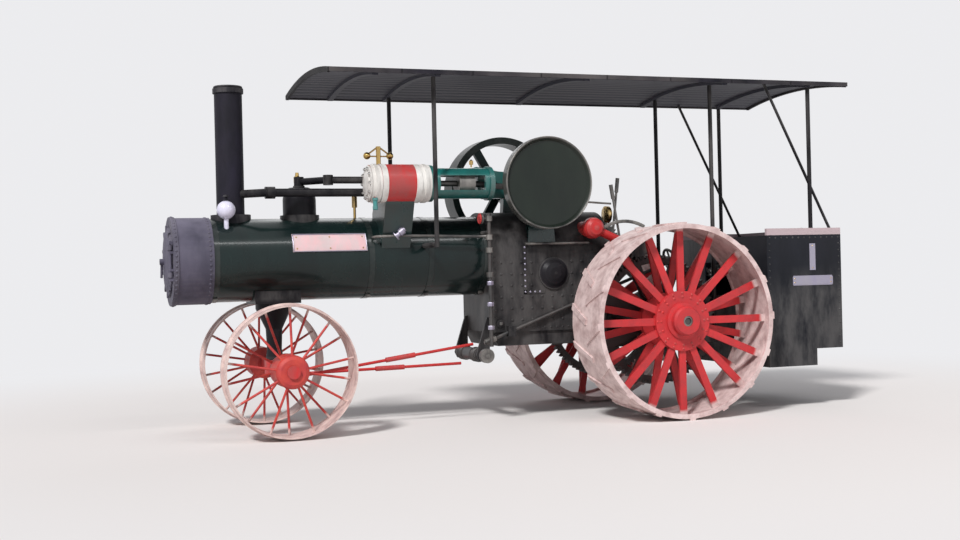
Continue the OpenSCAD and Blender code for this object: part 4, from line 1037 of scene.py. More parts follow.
@dataclass(frozen=True)
class EngineDress:
    """Bright covers, nuts, lagging and oil cups of the engine."""

    cylinder_rear: float = lowest("engine_cylinder").x
    cover: float = 0.085
    cylinder: float = highest("engine_cylinder").x - cylinder_rear - 2 * cover
    radius: float = 0.153
    seat: float = 0.001
    lip: float = 0.0035
    edge: float = 0.002
    flange: float = 0.164
    flange_half: float = 0.014
    flange_foot: float = 0.015
    head_steps: Profile = ((0.0005, 0.15), (0.008, 0.149), (0.013, 0.144), (0.014, 0.102),
                           (0.022, 0.096), (0.03, 0.07), (0.033, 0.002))
    band_steps: Profile = ((0.0, 0.1602), (0.003, 0.1635), (0.047, 0.1635), (0.05, 0.1602))
    band: float = 0.05
    nut: float = 0.014
    nut_out: float = 0.013
    nut_circle: float = 0.125
    nut_count: int = 10
    chest_x: float = middle("engine_cylinder").x
    chest_z: float = 2.04
    lagging_size: Point = (0.398, 0.149, 0.208)
    lagging_y: float = 0.2505
    lid_size: Point = (0.36, 0.014, 0.17)
    lid_y: float = 0.173
    chest_nut: float = 0.012
    chest_nut_x: float = 0.11
    chest_nut_z: float = 0.07
    cup_steps: Profile = ((0, 0.007), (0.02, 0.007), (0.022, 0.018), (0.055, 0.018),
                          (0.058, 0.012), (0.066, 0.006))
    cup_places: tuple[Point, ...] = ((1.62, 0.35, 0.147), (CRANK_X, 0.33, 0.114),
                                     (CRANK_X, -0.33, 0.114))

    def ring(self, name: str, steps: Profile, x: float) -> None:
        """Turns one whitened ring and stands it on the cylinder.

        Args:
            name: the ring's name.
            steps: height and radius of each step.
            x: where its rear face stands, counted from the rear axle.
        """
        Workshop.set_up(Workshop.turned(name, steps, 64), facing(x, ENGINE_Y, CRANK_Z, FORWARD),
                        COVER, Slot.BRIGHT)

    def covers(self) -> None:
        """Whitened covers, bands and head on the cylinder's bright ends."""
        inner, outer, centre = self.radius + self.seat, self.radius + self.lip, self.cover / 2
        steps = [(0.0, inner), (self.edge, outer), (centre - self.flange_foot, outer),
                 (centre - self.flange_half, self.flange),
                 (centre + self.flange_half, self.flange), (centre + self.flange_foot, outer),
                 (self.cover - self.edge, outer), (self.cover, inner)]
        front = self.cylinder_rear + self.cover + self.cylinder
        self.ring("cylinder_cover_rear", steps, self.cylinder_rear)
        self.ring("cylinder_cover_front", steps, front)
        self.ring("cylinder_white_band_rear", self.band_steps, self.cylinder_rear + self.cover)
        self.ring("cylinder_white_band_front", self.band_steps, front - self.band)
        self.ring("cylinder_head", self.head_steps, front + self.cover)

    def cover_nuts(self) -> None:
        """Nuts round the front cover."""
        x = self.cylinder_rear + 2 * self.cover + self.cylinder + self.nut_out
        places = []
        for i in range(self.nut_count):
            angle = 2 * math.pi * i / self.nut_count
            places.append(facing(x, ENGINE_Y + self.nut_circle * math.cos(angle),
                                 CRANK_Z + self.nut_circle * math.sin(angle), FORWARD))
        Workshop.scatter("cylinder_nuts", Workshop.nut(self.nut, self.nut), places, BRIGHT,
                         Slot.BRIGHT)

    def chest(self) -> None:
        """Lagging, lid and nuts of the steam chest on the cylinder's inner side."""
        x, z = self.chest_x, self.chest_z
        lagging = Workshop.slab("steam_chest_lagging", self.lagging_size, 0.003)
        Workshop.settle(lagging, upright(x, self.lagging_y, z))
        lid = Workshop.slab("steam_chest_lid", self.lid_size, 0.004)
        Workshop.settle(lid, upright(x, self.lid_y, z))
        Workshop.hand_over(Workshop.join("steam_chest_lagging", [lagging, lid]), OLIVE,
                           Slot.GREEN)
        y = self.lid_y - self.lid_size[1] / 2
        places = [facing(x + i * self.chest_nut_x, y, z + j * self.chest_nut_z, RIGHTWARD)
                  for i in (-1.5, -0.5, 0.5, 1.5) for j in (-1, 1)]
        nut = Workshop.nut(self.chest_nut, self.chest_nut)
        Workshop.scatter("steam_chest_nuts", nut, places, STEEL, Slot.STEEL)

    def oil_cups(self) -> None:
        """Brass oil cups on the guide and the bearings."""
        places = [upright(x, y, CRANK_Z + up) for x, y, up in self.cup_places]
        cup = Workshop.turned("cup", self.cup_steps, 16)
        Workshop.scatter("oil_cups", cup, places, BRASS, Slot.BRASS)

    def build(self) -> None:
        """Makes all the engine's small pieces."""
        self.covers()
        self.cover_nuts()
        self.chest()
        self.oil_cups()


@dataclass(frozen=True)
class TankDress:
    """Rivets of the tank."""

    front: float = highest("tank").x
    back: float = lowest("tank").x
    half: float = highest("tank").y
    top: float = lowest("tank_boards").z
    rivet: float = 0.009
    margin: float = 0.025
    top_start: float = 0.03
    top_pitch: tuple[float, int] = (0.0596, 13)
    side_pitch: tuple[float, int] = (0.06, 16)
    back_pitch: tuple[float, int] = (0.0615, 27)
    side_low: float = 0.58
    back_low: float = 0.56
    back_start: float = -0.8

    def build(self) -> None:
        """Rivets along the edges of the tank's sides and back."""
        high = self.top - self.margin
        places = []
        for side in Side:
            y = side.value * self.half
            pitch, count = self.top_pitch
            places += [facing(self.back + self.top_start + pitch * i, y, high, side.out)
                       for i in range(count)]
            pitch, count = self.side_pitch
            places += [facing(x, y, self.side_low + pitch * i, side.out)
                       for x in (self.front - self.margin, self.back + self.margin)
                       for i in range(count)]
        pitch, count = self.back_pitch
        places += [facing(self.back, self.back_start + pitch * i, z, BACKWARD)
                   for i in range(count) for z in (self.back_low, high)]
        Workshop.scatter("tank_rivets", Workshop.rivet(self.rivet), places, TANK, Slot.TANK)


@dataclass(frozen=True)
class Fittings:
    """Gauge, water glass, valves, plugs and levers round the boiler."""

    gauge_x: float = FIREBOX_BACK - 0.075
    gauge_y: float = 0.11
    gauge_z: float = 1.79
    case_steps: Profile = ((0, 0.072), (0.004, 0.078), (0.034, 0.078), (0.042, 0.074),
                           (0.0421, 0.066), (0.036, 0.064))
    dial_radius: float = 0.0645
    dial_depth: float = 0.036
    mark_depth: float = 0.0388
    mark_size: Point = (0.001, 0.0022, 0.012)
    mark_circle: float = 0.054
    mark_start: float = -135.0
    mark_turn: float = 13.5
    mark_count: int = 21
    hand_place: Point = (0.0392, -0.012, 0.016)
    hand_turn: float = 0.62
    hand_stretch: float = 3.6
    gauge_pipe_radius: float = 0.008
    gauge_pipe: Profile = ((0.01, 1.66), (-0.03, 1.66), (-0.05, 1.68), (-0.05, 1.73))
    glass_y: float = -0.17
    glass_ends: Range = (1.36, 1.6)
    glass_away: float = 0.06
    glass_radius: float = 0.009
    cock_steps: Profile = ((0, 0.02), (0.012, 0.02), (0.014, 0.011), (0.05, 0.011),
                           (0.052, 0.017), (0.076, 0.017), (0.078, 0.009), (0.09, 0.009))
    cock_places: Profile = ((-0.17, 1.35), (-0.17, 1.61), (-0.24, 1.4), (-0.25, 1.48),
                            (-0.24, 1.56))
    valve_steps: Profile = ((0, 0.034), (0.012, 0.034), (0.014, 0.022), (0.05, 0.022),
                            (0.055, 0.03), (0.1, 0.03), (0.112, 0.018), (0.14, 0.014))
    valve_place: Point = (3.05, -0.068, 2.04)
    check_steps: Profile = ((0, 0.038), (0.01, 0.038), (0.012, 0.02), (0.04, 0.02),
                            (0.045, 0.031), (0.085, 0.031), (0.09, 0.02), (0.1, 0.018))
    check_place: Point = (2.325, 0.408, 1.608)
    check_lean: Point = (-0.75, 0.2, 0.62)
    check_pipe_radius: float = 0.011
    check_pipe: tuple[Point, ...] = (
        (2.5, 0.29, 1.605), (2.49, 0.36, 1.61), (2.46, 0.405, 1.612), (2.3, 0.412, 1.615),
        (2.12, 0.412, 1.612), (1.62, 0.43, 1.6), (1.55, 0.45, 1.6), (1.52, 0.47, 1.6))
    boss_steps: Profile = ((0, 0.036), (0.012, 0.034), (0.016, 0.026))
    plug_size: Point = (0.026, 0.026, 0.03)
    plug_out: float = 0.015
    plug_x: Range = (0.4, 1.4)
    plug_z: float = 0.845
    reverse: tuple[Point, float, float] = ((0.16, 0.3, 1.32), -0.16, 0.74)
    throttle: tuple[Point, float, float] = ((0.22, 0.2, 1.62), 0.12, 0.5)
    lever_radius: float = 0.011
    grip: float = 0.13
    grip_radius: float = 0.018
    tooth_size: Point = (0.03, 0.012, 0.034)
    tooth_y: float = 0.322
    tooth_circle: float = 0.4
    tooth_turns: tuple[float, float, int] = (62, 4.6, 13)
    reach_radius: float = 0.009
    reach: tuple[Point, ...] = ((0.28, 0.3, 1.88), (0.98, 0.262, 1.93), (2.2, 0.25, 1.96))

    def gauge(self) -> None:
        """Steam gauge with a plain dial, on a bent pipe at the top of the backhead."""
        x, y, z = self.gauge_x, self.gauge_y, self.gauge_z
        Workshop.set_up(Workshop.turned("gauge_case", self.case_steps, 40),
                        facing(x, y, z, BACKWARD), BRASS, Slot.BRASS)
        dial = Workshop.turned("gauge_dial", [(0, self.dial_radius), (0.002, self.dial_radius)],
                               40)
        Workshop.set_up(dial, facing(x - self.dial_depth, y, z, BACKWARD), COVER, Slot.LAMP)
        marks = []
        for i in range(self.mark_count):
            angle = math.radians(self.mark_start + self.mark_turn * i)
            mark = upright(x - self.mark_depth, y + self.mark_circle * math.sin(angle),
                           z + self.mark_circle * math.cos(angle))
            marks.append(mark @ Matrix.Rotation(-angle, 4, "X"))
        hand = upright(x - self.hand_place[0], y + self.hand_place[1], z + self.hand_place[2])
        marks.append(hand @ Matrix.Rotation(self.hand_turn, 4, "X")
                     @ Matrix.Scale(self.hand_stretch, 4, (0, 0, 1)))
        Workshop.scatter("gauge_marks", Workshop.slab("mark", self.mark_size, 0.0), marks, STEEL,
                         Slot.STEEL)
        points = [at(FIREBOX_BACK + along, y, height) for along, height in self.gauge_pipe]
        pipe = Workshop.tube("gauge_pipe", points, self.gauge_pipe_radius)
        Workshop.hand_over(pipe, BRASS, Slot.BRASS)

    def water_glass(self) -> None:
        """Water glass between two cocks, with three try cocks beside it."""
        x = FIREBOX_BACK - self.glass_away
        points = [at(x, self.glass_y, z) for z in self.glass_ends]
        glass = Workshop.tube("water_glass", points, self.glass_radius)
        Workshop.hand_over(glass, LAMP, Slot.LAMP)
        places = [facing(FIREBOX_BACK, y, z, BACKWARD) for y, z in self.cock_places]
        cock = Workshop.turned("cock", self.cock_steps, 16)
        Workshop.scatter("boiler_cocks", cock, places, BRASS, Slot.BRASS)

    def safety_valve(self) -> None:
        """Pop valve beside the steam pipe's flange on the dome."""
        valve = Workshop.turned("safety_valve", self.valve_steps, 24)
        Workshop.set_up(valve, upright(*self.valve_place), BRASS, Slot.BRASS)

    def check_valve(self) -> None:
        """Feed check valve on the barrel's left shoulder, with its slanting pipe."""
        valve = Workshop.turned("feed_check_valve", self.check_steps, 20)
        Workshop.set_up(valve, facing(*self.check_place, self.check_lean), PLATE, Slot.BRIGHT)
        pipe = Workshop.tube("feed_check_pipe", [at(*p) for p in self.check_pipe],
                             self.check_pipe_radius)
        Workshop.hand_over(pipe, STEEL, Slot.STEEL)

    def plugs(self) -> None:
        """Square-headed washout plugs in bosses at the firebox corners."""
        bosses, heads = [[facing(x, half * side.value, self.plug_z, side.out)
                          for side in Side for x in self.plug_x]
                         for half in (FIREBOX_HALF, FIREBOX_HALF + self.plug_out)]
        boss = Workshop.turned("boss", self.boss_steps, 20)
        Workshop.scatter("washout_bosses", boss, bosses, BLACK, Slot.BLACK)
        plug = Workshop.slab("plug", self.plug_size, 0.003)
        Workshop.scatter("washout_plugs", plug, heads, STEEL, Slot.STEEL)

    def lever(self, name: str, foot: Point, lean: float, length: float) -> None:
        """Makes one lever with a thicker grip.

        Args:
            name: its name.
            foot: where it starts, counted from the rear axle.
            lean: how far it leans back, in radians.
            length: its length.
        """
        bar = [at(foot[0] - reach * math.sin(lean), foot[1], foot[2] + reach * math.cos(lean))
               for reach in (0.0, length - self.grip, length)]
        Workshop.hand_over(Workshop.join(name, [
            Workshop.tube(name + "_bar", [bar[0], bar[2]], self.lever_radius, 4),
            Workshop.tube(name + "_grip", bar[1:], self.grip_radius, 5)]), STEEL, Slot.STEEL)

    def levers(self) -> None:
        """Both levers, the toothed quadrant and the reach rod."""
        self.lever("reverse_lever", *self.reverse)
        self.lever("throttle_lever", *self.throttle)
        teeth = []
        foot_x, _, foot_z = self.reverse[0]
        first, turn, count = self.tooth_turns
        for i in range(count):
            angle = math.radians(first + turn * i)
            tooth = upright(foot_x + self.tooth_circle * math.cos(angle), self.tooth_y,
                            foot_z + self.tooth_circle * math.sin(angle))
            teeth.append(tooth @ Matrix.Rotation(-angle, 4, "Y"))
        tooth = Workshop.slab("tooth", self.tooth_size, 0.002)
        Workshop.scatter("reverse_quadrant", tooth, teeth, STEEL, Slot.STEEL)
        rod = Workshop.tube("reach_rod", [at(*p) for p in self.reach], self.reach_radius, 3)
        Workshop.hand_over(rod, STEEL, Slot.STEEL)

    def build(self) -> None:
        """Makes all the fittings."""
        self.gauge()
        self.water_glass()
        self.safety_valve()
        self.check_valve()
        self.plugs()
        self.levers()


@dataclass(frozen=True)
class CanopyDress:
    """Boards and bolts of the canopy."""

    front: float = highest("canopy_roof").x
    back: float = lowest("canopy_roof").x
    half: float = highest("canopy_roof").y
    rise: float = 0.075
    eave: float = highest("canopy_roof").z - rise
    thick: float = 0.022
    board_count: int = 17
    board_margin: float = 0.026
    board_gap: float = 0.002
    board_thick: float = 0.01
    end_gap: float = 0.06
    bolt: Range = (0.009, 0.1)
    bolt_down: float = 0.018
    bolt_sunk: float = 0.001
    bolt_pitch: tuple[float, int] = (0.248, 20)

    def boards(self) -> None:
        """Narrow boards side by side under the roof, each on its arc."""
        arc = (self.half ** 2 + self.rise ** 2) / (2 * self.rise)
        under = arc - self.thick - self.board_gap
        step = 2 * (self.half - self.board_margin) / self.board_count
        places = []
        for i in range(self.board_count):
            y = -self.half + self.board_margin + step * (i + 0.5)
            z = self.eave + self.rise - arc + math.sqrt(under ** 2 - y * y)
            places.append(upright((self.front + self.back) / 2, y, z)
                          @ Matrix.Rotation(math.atan(-y / arc), 4, "X"))
        size = (self.front - self.back - self.end_gap, step - self.board_gap, self.board_thick)
        board = Workshop.slab("board", size, 0.003)
        Workshop.scatter("canopy_boards", board, places, CANOPY, Slot.CANOPY)

    def bolts(self) -> None:
        """Bolt heads along the eaves' boards."""
        pitch, count = self.bolt_pitch
        y, z = self.half - self.bolt_sunk, self.eave - self.bolt_down
        places = [facing(self.back + self.end_gap + pitch * i, y * side.value, z, side.out)
                  for side in Side for i in range(count)]
        Workshop.scatter("eave_bolts", Workshop.rivet(*self.bolt), places, CANOPY, Slot.CANOPY)

    def build(self) -> None:
        """Makes the canopy's pieces."""
        self.boards()
        self.bolts()


@dataclass(frozen=True)
class PlatformDress:
    """Tread studs of the platform and the coal in the tank."""

    back: float = -0.96
    front: float = 0.3
    half: float = 0.49
    level: float = 0.706
    rows: tuple[float, int] = (0.05, 25)
    columns: tuple[float, int] = (0.052, 19)
    start: float = 0.03
    edge: float = 0.02
    stud_size: Point = (0.03, 0.009, 0.006)
    axle_clear: Range = (0.14, 0.34)
    coal_count: int = 330
    coal_seed: int = 7
    lump_seed: int = 3
    lump_rough: float = 0.22
    lump_bevel: float = 0.08
    coal_x: Range = (-1.58, -1.05)
    coal_half: float = 0.385
    coal_level: float = 1.24
    heap: Point = (-1.4, 0.16, 0.3)
    slope_from: float = -1.25
    slope: float = 0.25
    lump_size: Range = (0.026, 0.048)
    lump_flat: Range = (0.6, 1)
    lump_sunk: Range = (-0.03, 0.02)
    full_turn: Range = (0, 6.28)

    def studs(self) -> None:
        """Raised diamonds in staggered rows on the floor plate."""
        places = []
        for i in range(self.rows[1]):
            odd = i % 2
            x = self.back + self.start + i * self.rows[0]
            for j in range(self.columns[1]):
                y = -self.half + self.start + (j + odd / 2) * self.columns[0]
                by_axle = abs(x) < self.axle_clear[0] and abs(y) > self.axle_clear[1]
                if x > self.front - self.edge or abs(y) > self.half - self.edge or by_axle:
                    continue
                turn = Matrix.Rotation(math.radians(45 if odd else -45), 4, "Z")
                places.append(upright(x, y, self.level) @ turn)
        stud = Workshop.slab("stud", self.stud_size, 0.0018)
        Workshop.scatter("tread_studs", stud, places, BLACK, Slot.BLACK)

    def coal(self) -> None:
        """Lumps of coal heaped in the tank's open space."""
        rng = np.random.default_rng(self.coal_seed)
        Workshop.clear()
        bpy.ops.mesh.primitive_ico_sphere_add(subdivisions=1, radius=1.0, location=(0, 0, 0))
        lump = Workshop.edit("lump")
        bpy.ops.transform.vertex_random(offset=self.lump_rough, seed=self.lump_seed)
        bpy.ops.mesh.bevel(offset=self.lump_bevel, segments=1, affect="EDGES")
        bpy.ops.object.mode_set(mode="OBJECT")
        crest, rise, spread = self.heap
        places = []
        for _ in range(self.coal_count):
            x, y = rng.uniform(*self.coal_x), rng.uniform(-self.coal_half, self.coal_half)
            top = self.coal_level + rise * math.exp(-((x - crest) / spread) ** 2)
            top -= self.slope * max(0.0, x - self.slope_from)
            size = rng.uniform(*self.lump_size)
            turn = (Matrix.Rotation(rng.uniform(*self.full_turn), 4, "X")
                    @ Matrix.Rotation(rng.uniform(*self.full_turn), 4, "Z"))
            place = upright(x, y, top + rng.uniform(*self.lump_sunk))
            shape = (size, size * rng.uniform(*self.lump_flat),
                     size * rng.uniform(*self.lump_flat), 1)
            places.append(place @ turn @ Matrix.Diagonal(shape))
        Workshop.scatter("coal", lump, places, COAL, Slot.BLACK)
        bpy.ops.object.shade_flat()

    def build(self) -> None:
        """Makes the platform's and the coal space's pieces."""
        self.studs()
        self.coal()


@dataclass(frozen=True)
class TrimDress:
    """Beads, screws and bolts of plates, guard, pipes and front end."""

    panel_radius: float = 0.353
    bead_in: Range = (0.005, 0.004)
    bead_radius: float = 0.005
    bead_points: int = 7
    screw: float = 0.007
    screw_sunk: float = 0.003
    screw_margin: float = 0.03
    dish_steps: Profile = ((0.0005, 0.3995), (0.024, 0.3995), (0.031, 0.394), (0.031, 0.386),
                           (0.024, 0.378), (0.004, 0.362), (0.0035, 0.3), (0.003, 0.002))
    dish_y: float = highest("crank_guard").y
    guard_edge_radius: float = 0.394
    guard_edge_out: float = 0.0295
    edge_half: float = 0.0055
    guard_bolt: Range = (0.014, 0.02)
    guard_bolt_out: float = 0.003
    guard_bolts: Profile = ((0.33, 0.078), (0.33, -0.098), (0.0, -0.31))
    union_steps: Profile = ((0, 0.026), (0.004, 0.028), (0.03, 0.028), (0.034, 0.026))
    union_heights: Point = (1.0, 1.18, 0.8)
    pipe_x: float = 1.515
    pipe_y: float = 0.47
    feed_wheel: Point = (1.598, 0.47, 1.75)
    feed_wheel_radius: float = 0.041
    arm_size: Point = (0.08, 0.008, 0.006)
    arm_turns: Point = (0, 60, 120)
    drain_steps: Profile = ((0, 0.014), (0.004, 0.022), (0.03, 0.022), (0.033, 0.0185),
                            (0.075, 0.0185), (0.078, 0.024), (0.1, 0.024), (0.104, 0.012))
    drain_place: Point = (2.53, 0.54, 1.826)
    vent_steps: Profile = ((0, 0.02), (0.008, 0.024), (0.016, 0.014), (0.034, 0.014),
                           (0.036, 0.026), (0.05, 0.018), (0.054, 0.004))
    vent_sunk: float = 0.005
    strap_x: float = 1.158
    strap_low: float = 1.112
    strap_size: Point = (0.034, 0.005, 0.42)
    strap_up: float = 0.193
    foot_size: Point = (0.2, 0.005, 0.034)
    foot_back: float = 0.083
    strap_out: float = 0.0035
    strap_rivet: float = 0.0095
    strap_rivets: tuple[float, int] = (0.0485, 9)
    foot_rivets: tuple[float, int] = (0.045, 4)
    saddle_low: float = 1.106
    saddle_bolts: Range = (0.15, 0.19)
    saddle_nut: Range = (0.017, 0.014)
    plate_screws: Profile = ((-1.64, 1.13), (-1.64, 1.165), (-1.26, 1.13), (-1.26, 1.165),
                             (-1.45, 1.26), (-1.45, 1.46))
    plate_screw_sunk: float = 0.0005
    plate_screw: float = 0.006
    backing_size: Point = (0.41, 0.003, 0.088)
    backing_place: Point = (-1.45, 0.8517, 1.1475)

    def panel(self) -> None:
        """Raised bead round the blank side panel, and its screws."""
        along, up = self.bead_in
        low, high = lowest("name_panel"), highest("name_panel")
        back, front = low.x + along, high.x - along
        angles = [math.asin((z - BOILER_Z) / self.panel_radius)
                  for z in np.linspace(low.z + up, high.z - up, self.bead_points)]
        rise = [(self.panel_radius * math.cos(a), BOILER_Z + self.panel_radius * math.sin(a))
                for a in angles]
        loop = [at(back, *p) for p in rise] + [at(front, *p) for p in reversed(rise)]
        bead = Workshop.tube("panel_bead", loop + loop[:1], self.bead_radius, 2)
        Workshop.hand_over(bead, PLATE, Slot.PANEL)
        margin = self.screw_margin
        places = [facing(x, y - self.screw_sunk, z, (0.0, y, z - BOILER_Z))
                  for x in (back + margin, (back + front) / 2, front - margin)
                  for y, z in (rise[1], rise[-2])]
        Workshop.scatter("panel_screws", Workshop.rivet(self.screw), places, BRASS, Slot.BRASS)

    def guard(self) -> None:
        """Dished face, rolled edge and bolts of the round guard over the crank."""
        dish = Workshop.turned("guard_dish", self.dish_steps, 96)
        Workshop.set_up(dish, facing(CRANK_X, self.dish_y, CRANK_Z, LEFTWARD), OLIVE, Slot.JACKET)
        roll = Workshop.hoop("guard_edge", self.guard_edge_radius, self.edge_half, 96, 8)
        y = self.dish_y + self.guard_edge_out
        Workshop.set_up(roll, facing(CRANK_X, y, CRANK_Z, LEFTWARD), STEEL, Slot.STEEL)
        places = [facing(CRANK_X + dx, self.dish_y + self.guard_bolt_out, CRANK_Z + dz, LEFTWARD)
                  for dx, dz in self.guard_bolts]
        Workshop.scatter("guard_bolts", Workshop.rivet(*self.guard_bolt), places, STEEL,
                         Slot.STEEL)

    def pipes(self) -> None:
        """Union nuts on the pipes and the wheel of the feed valve."""
        places = [upright(self.pipe_x, self.pipe_y, z) for z in self.union_heights]
        nut = Workshop.turned("union", self.union_steps, 6)
        Workshop.scatter("pipe_unions", nut, places, PLATE, Slot.BRIGHT)
        rim = Workshop.hoop("valve_rim", self.feed_wheel_radius, self.edge_half, 28, 6)
        arms = Workshop.spread("valve_arms", Workshop.slab("arm", self.arm_size, 0.001),
                               [Matrix.Rotation(math.radians(turn), 4, "Z")
                                for turn in self.arm_turns])
        Workshop.set_up(Workshop.join("feed_valve_wheel", [rim, arms]),
                        facing(*self.feed_wheel, FORWARD), RED, Slot.RED)

    def drain_and_vent(self) -> None:
        """Teal drain fitting under the cylinder's front end, and the vent on the lamp."""
        drain = Workshop.turned("drain_fitting", self.drain_steps, 20)
        Workshop.set_up(drain, upright(*self.drain_place), TEAL, Slot.GREEN)
        vent = Workshop.turned("lamp_vent", self.vent_steps, 20)
        x, y, _ = middle("headlamp")
        Workshop.set_up(vent, upright(x, y, highest("headlamp").z - self.vent_sunk), STACK,
                        Slot.BLACK)

    def strap(self) -> None:
        """Riveted strap at the front and foot of the firebox's side plate."""
        x, z, y = self.strap_x, self.strap_low, FIREBOX_HALF + self.strap_out
        upper = Workshop.slab("strap", self.strap_size, 0.0015)
        Workshop.settle(upper, upright(x, y, z + self.strap_up))
        foot = Workshop.slab("strap", self.foot_size, 0.0015)
        Workshop.settle(foot, upright(x - self.foot_back, y, z))
        Workshop.hand_over(Workshop.join("firebox_strap", [upper, foot]), BLACK, Slot.BLACK)
        face = y + self.strap_size[1] / 2
        pitch, count = self.strap_rivets
        places = [facing(x, face, z + pitch * i, LEFTWARD) for i in range(count)]
        pitch, count = self.foot_rivets
        places += [facing(x - pitch * i, face, z, LEFTWARD) for i in range(1, count)]
        Workshop.scatter("firebox_strap_rivets", Workshop.rivet(self.strap_rivet), places, PLATE,
                         Slot.STEEL)

    def saddle(self) -> None:
        """Bolts under the front pedestal's saddle."""
        along, across = self.saddle_bolts
        places = [facing(WHEELBASE + dx, dy, self.saddle_low, DOWNWARD)
                  for dx in (-along, along) for dy in (-across, across)]
        Workshop.scatter("saddle_bolts", Workshop.nut(*self.saddle_nut), places, STEEL,
                         Slot.STEEL)

    def plates(self) -> None:
        """Backing of the low blank plate on the tank, and the screws of both plates."""
        back = Workshop.slab("plate_backing", self.backing_size, 0.001)
        Workshop.set_up(back, upright(*self.backing_place), PLATE, Slot.PLATE)
        face = highest("tank_plate").y - self.plate_screw_sunk
        places = [facing(x, face, z, LEFTWARD) for x, z in self.plate_screws]
        screw = Workshop.rivet(self.plate_screw)
        Workshop.scatter("plate_screws", screw, places, BRASS, Slot.BRASS)

    def build(self) -> None:
        """Makes all the trim."""
        self.panel()
        self.guard()
        self.pipes()
        self.drain_and_vent()
        self.strap()
        self.saddle()
        self.plates()


@dataclass(frozen=True)
class Lamp:
    """One soft rectangular lamp, aimed at the middle of the engine."""

    name: str
    place: Point
    size: Range
    power: float
    aim: Point = (0.0, 0.0, 1.2)

    def build(self) -> None:
        """Adds the lamp and turns it to its aim."""
        Workshop.clear()
        bpy.ops.object.light_add(type="AREA", location=self.place)
        lamp = bpy.context.object
        lamp.name = self.name
        lamp.data.shape = "RECTANGLE"
        lamp.data.size, lamp.data.size_y = self.size
        lamp.data.energy = self.power
        way = Vector(self.aim) - Vector(self.place)
        lamp.rotation_euler = way.to_track_quat("-Z", "Y").to_euler()


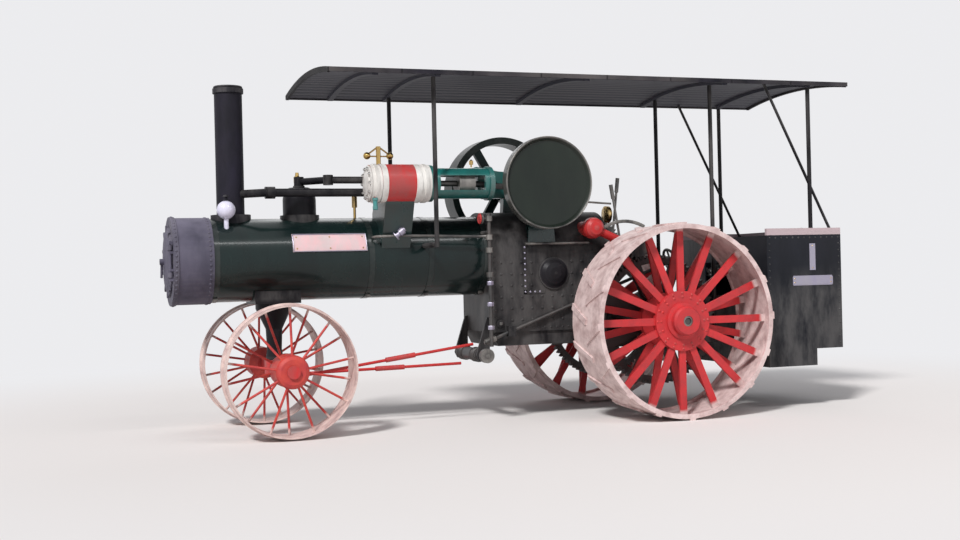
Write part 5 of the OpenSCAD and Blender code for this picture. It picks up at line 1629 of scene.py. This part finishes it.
@dataclass(frozen=True)
class Studio:
    """Pale floor, soft lamps and the camera where the photograph was taken from."""

    camera_place: Point = (4.12774, 10.77683, 1.30743)
    right: Point = (-0.94147459, 0.33621676, -0.02416371)
    up: Point = (-0.02261751, 0.00851486, 0.99970793)
    focal_pixels: float = 1285.03
    clip_end: float = 200.0
    image_width: float = 960.0
    sensor: float = 36.0
    pale: Colour = (0.84, 0.84, 0.86)
    floor_colour: Colour = (0.78, 0.74, 0.72)
    floor_rough: float = 0.95
    floor_size: float = 120.0
    fade: Range = (3.6, 9.0)
    soft_colour: Colour = (0.9, 0.93, 1.0)
    soft_strength: float = 0.3
    sun_strength: float = 2.9
    sun_degrees: float = 9.0
    sun_place: Point = (5.0, 6.0, 9.0)
    sun_way: Point = (-0.5, -0.52, -0.69)
    lamps: tuple[Lamp, ...] = (
        Lamp("fill", (-8.0, 9.0, 4.0), (5.0, 5.0), 60.0),
        Lamp("rim", (-2.0, -8.0, 8.0), (5.0, 5.0), 90.0),
        Lamp("bar", (-0.6, 7.2, 9.4), (6.0, 0.7), 160.0))

    def camera(self) -> None:
        """Sets the camera at the fitted place, turn and focal length."""
        Workshop.clear()
        bpy.ops.object.camera_add(location=self.camera_place)
        camera = bpy.context.object
        right = Vector(self.right).normalized()
        up = (Vector(self.up) - right * Vector(self.up).dot(right)).normalized()
        turn = Matrix((right, up, right.cross(up))).transposed().to_4x4()
        camera.matrix_world = Matrix.Translation(self.camera_place) @ turn
        camera.data.sensor_width = self.sensor
        camera.data.lens = self.focal_pixels / self.image_width * self.sensor
        camera.data.clip_end = self.clip_end
        bpy.context.scene.camera = camera

    def floor(self) -> None:
        """Adds a pale floor that keeps the shadow and fades into the backdrop far out."""
        Workshop.clear()
        bpy.ops.mesh.primitive_plane_add(size=self.floor_size, location=(0, 0, 0))
        ground = bpy.context.object
        ground.name = "floor"
        paint = bpy.data.materials.new("floor_paint")
        paint.use_nodes = True
        nodes = Nodes(paint.node_tree)
        shader = nodes.tree.nodes["Principled BSDF"]
        shader.inputs["Base Color"].default_value = (*self.floor_colour, 1)
        shader.inputs["Roughness"].default_value = self.floor_rough
        far = nodes.add("Emission", {"Color": (*self.pale, 1)})
        reach = nodes.add("VectorMath", links={0: nodes.add("TexCoord").outputs["Object"]})
        reach.operation = "LENGTH"
        fade = nodes.add("MapRange", {"From Min": self.fade[0], "From Max": self.fade[1]},
                         {"Value": reach.outputs["Value"]})
        fade.interpolation_type = "SMOOTHSTEP"
        share = nodes.math("MULTIPLY", fade.outputs["Result"], nodes.in_view())
        mix = nodes.add("MixShader", links={
            "Fac": share, 1: shader.outputs["BSDF"], 2: far.outputs["Emission"]})
        nodes.tree.links.new(mix.outputs["Shader"],
                             nodes.tree.nodes["Material Output"].inputs["Surface"])
        ground.data.materials.append(paint)

    def sky(self) -> None:
        """Sets a soft even surround that shows pale behind the object."""
        world = bpy.data.worlds.new("surround")
        bpy.context.scene.world = world
        world.use_nodes = True
        world.node_tree.nodes.clear()
        nodes = Nodes(world.node_tree)
        soft = nodes.add("Background", {"Color": (*self.soft_colour, 1),
                                        "Strength": self.soft_strength})
        seen = nodes.add("Background", {"Color": (*self.pale, 1), "Strength": 1.0})
        mix = nodes.add("MixShader", links={
            "Fac": nodes.in_view(), 1: soft.outputs["Background"], 2: seen.outputs["Background"]})
        nodes.add("OutputWorld", links={"Surface": mix.outputs["Shader"]})

    def sun(self) -> None:
        """Adds a broad sun from the front left."""
        Workshop.clear()
        bpy.ops.object.light_add(type="SUN", location=self.sun_place)
        sun = bpy.context.object
        sun.name = "key"
        sun.data.energy = self.sun_strength
        sun.data.angle = math.radians(self.sun_degrees)
        sun.rotation_euler = Vector(self.sun_way).to_track_quat("-Z", "Y").to_euler()

    def build(self) -> None:
        """Makes the camera, the floor, the surround and the lamps."""
        self.camera()
        self.floor()
        self.sky()
        self.sun()
        for lamp in self.lamps:
            lamp.build()
        bpy.context.scene.view_settings.view_transform = "Standard"


def main() -> None:
    """Builds the studio and the dress of every sub-assembly in order."""
    for group in (Studio(), Solids(), BoilerDress(), WheelDress(), EngineDress(), TankDress(),
                  Fittings(), CanopyDress(), PlatformDress(), TrimDress()):
        group.build()
        LOG.info("%s done", type(group).__name__)


if __name__ == "__main__":
    main()
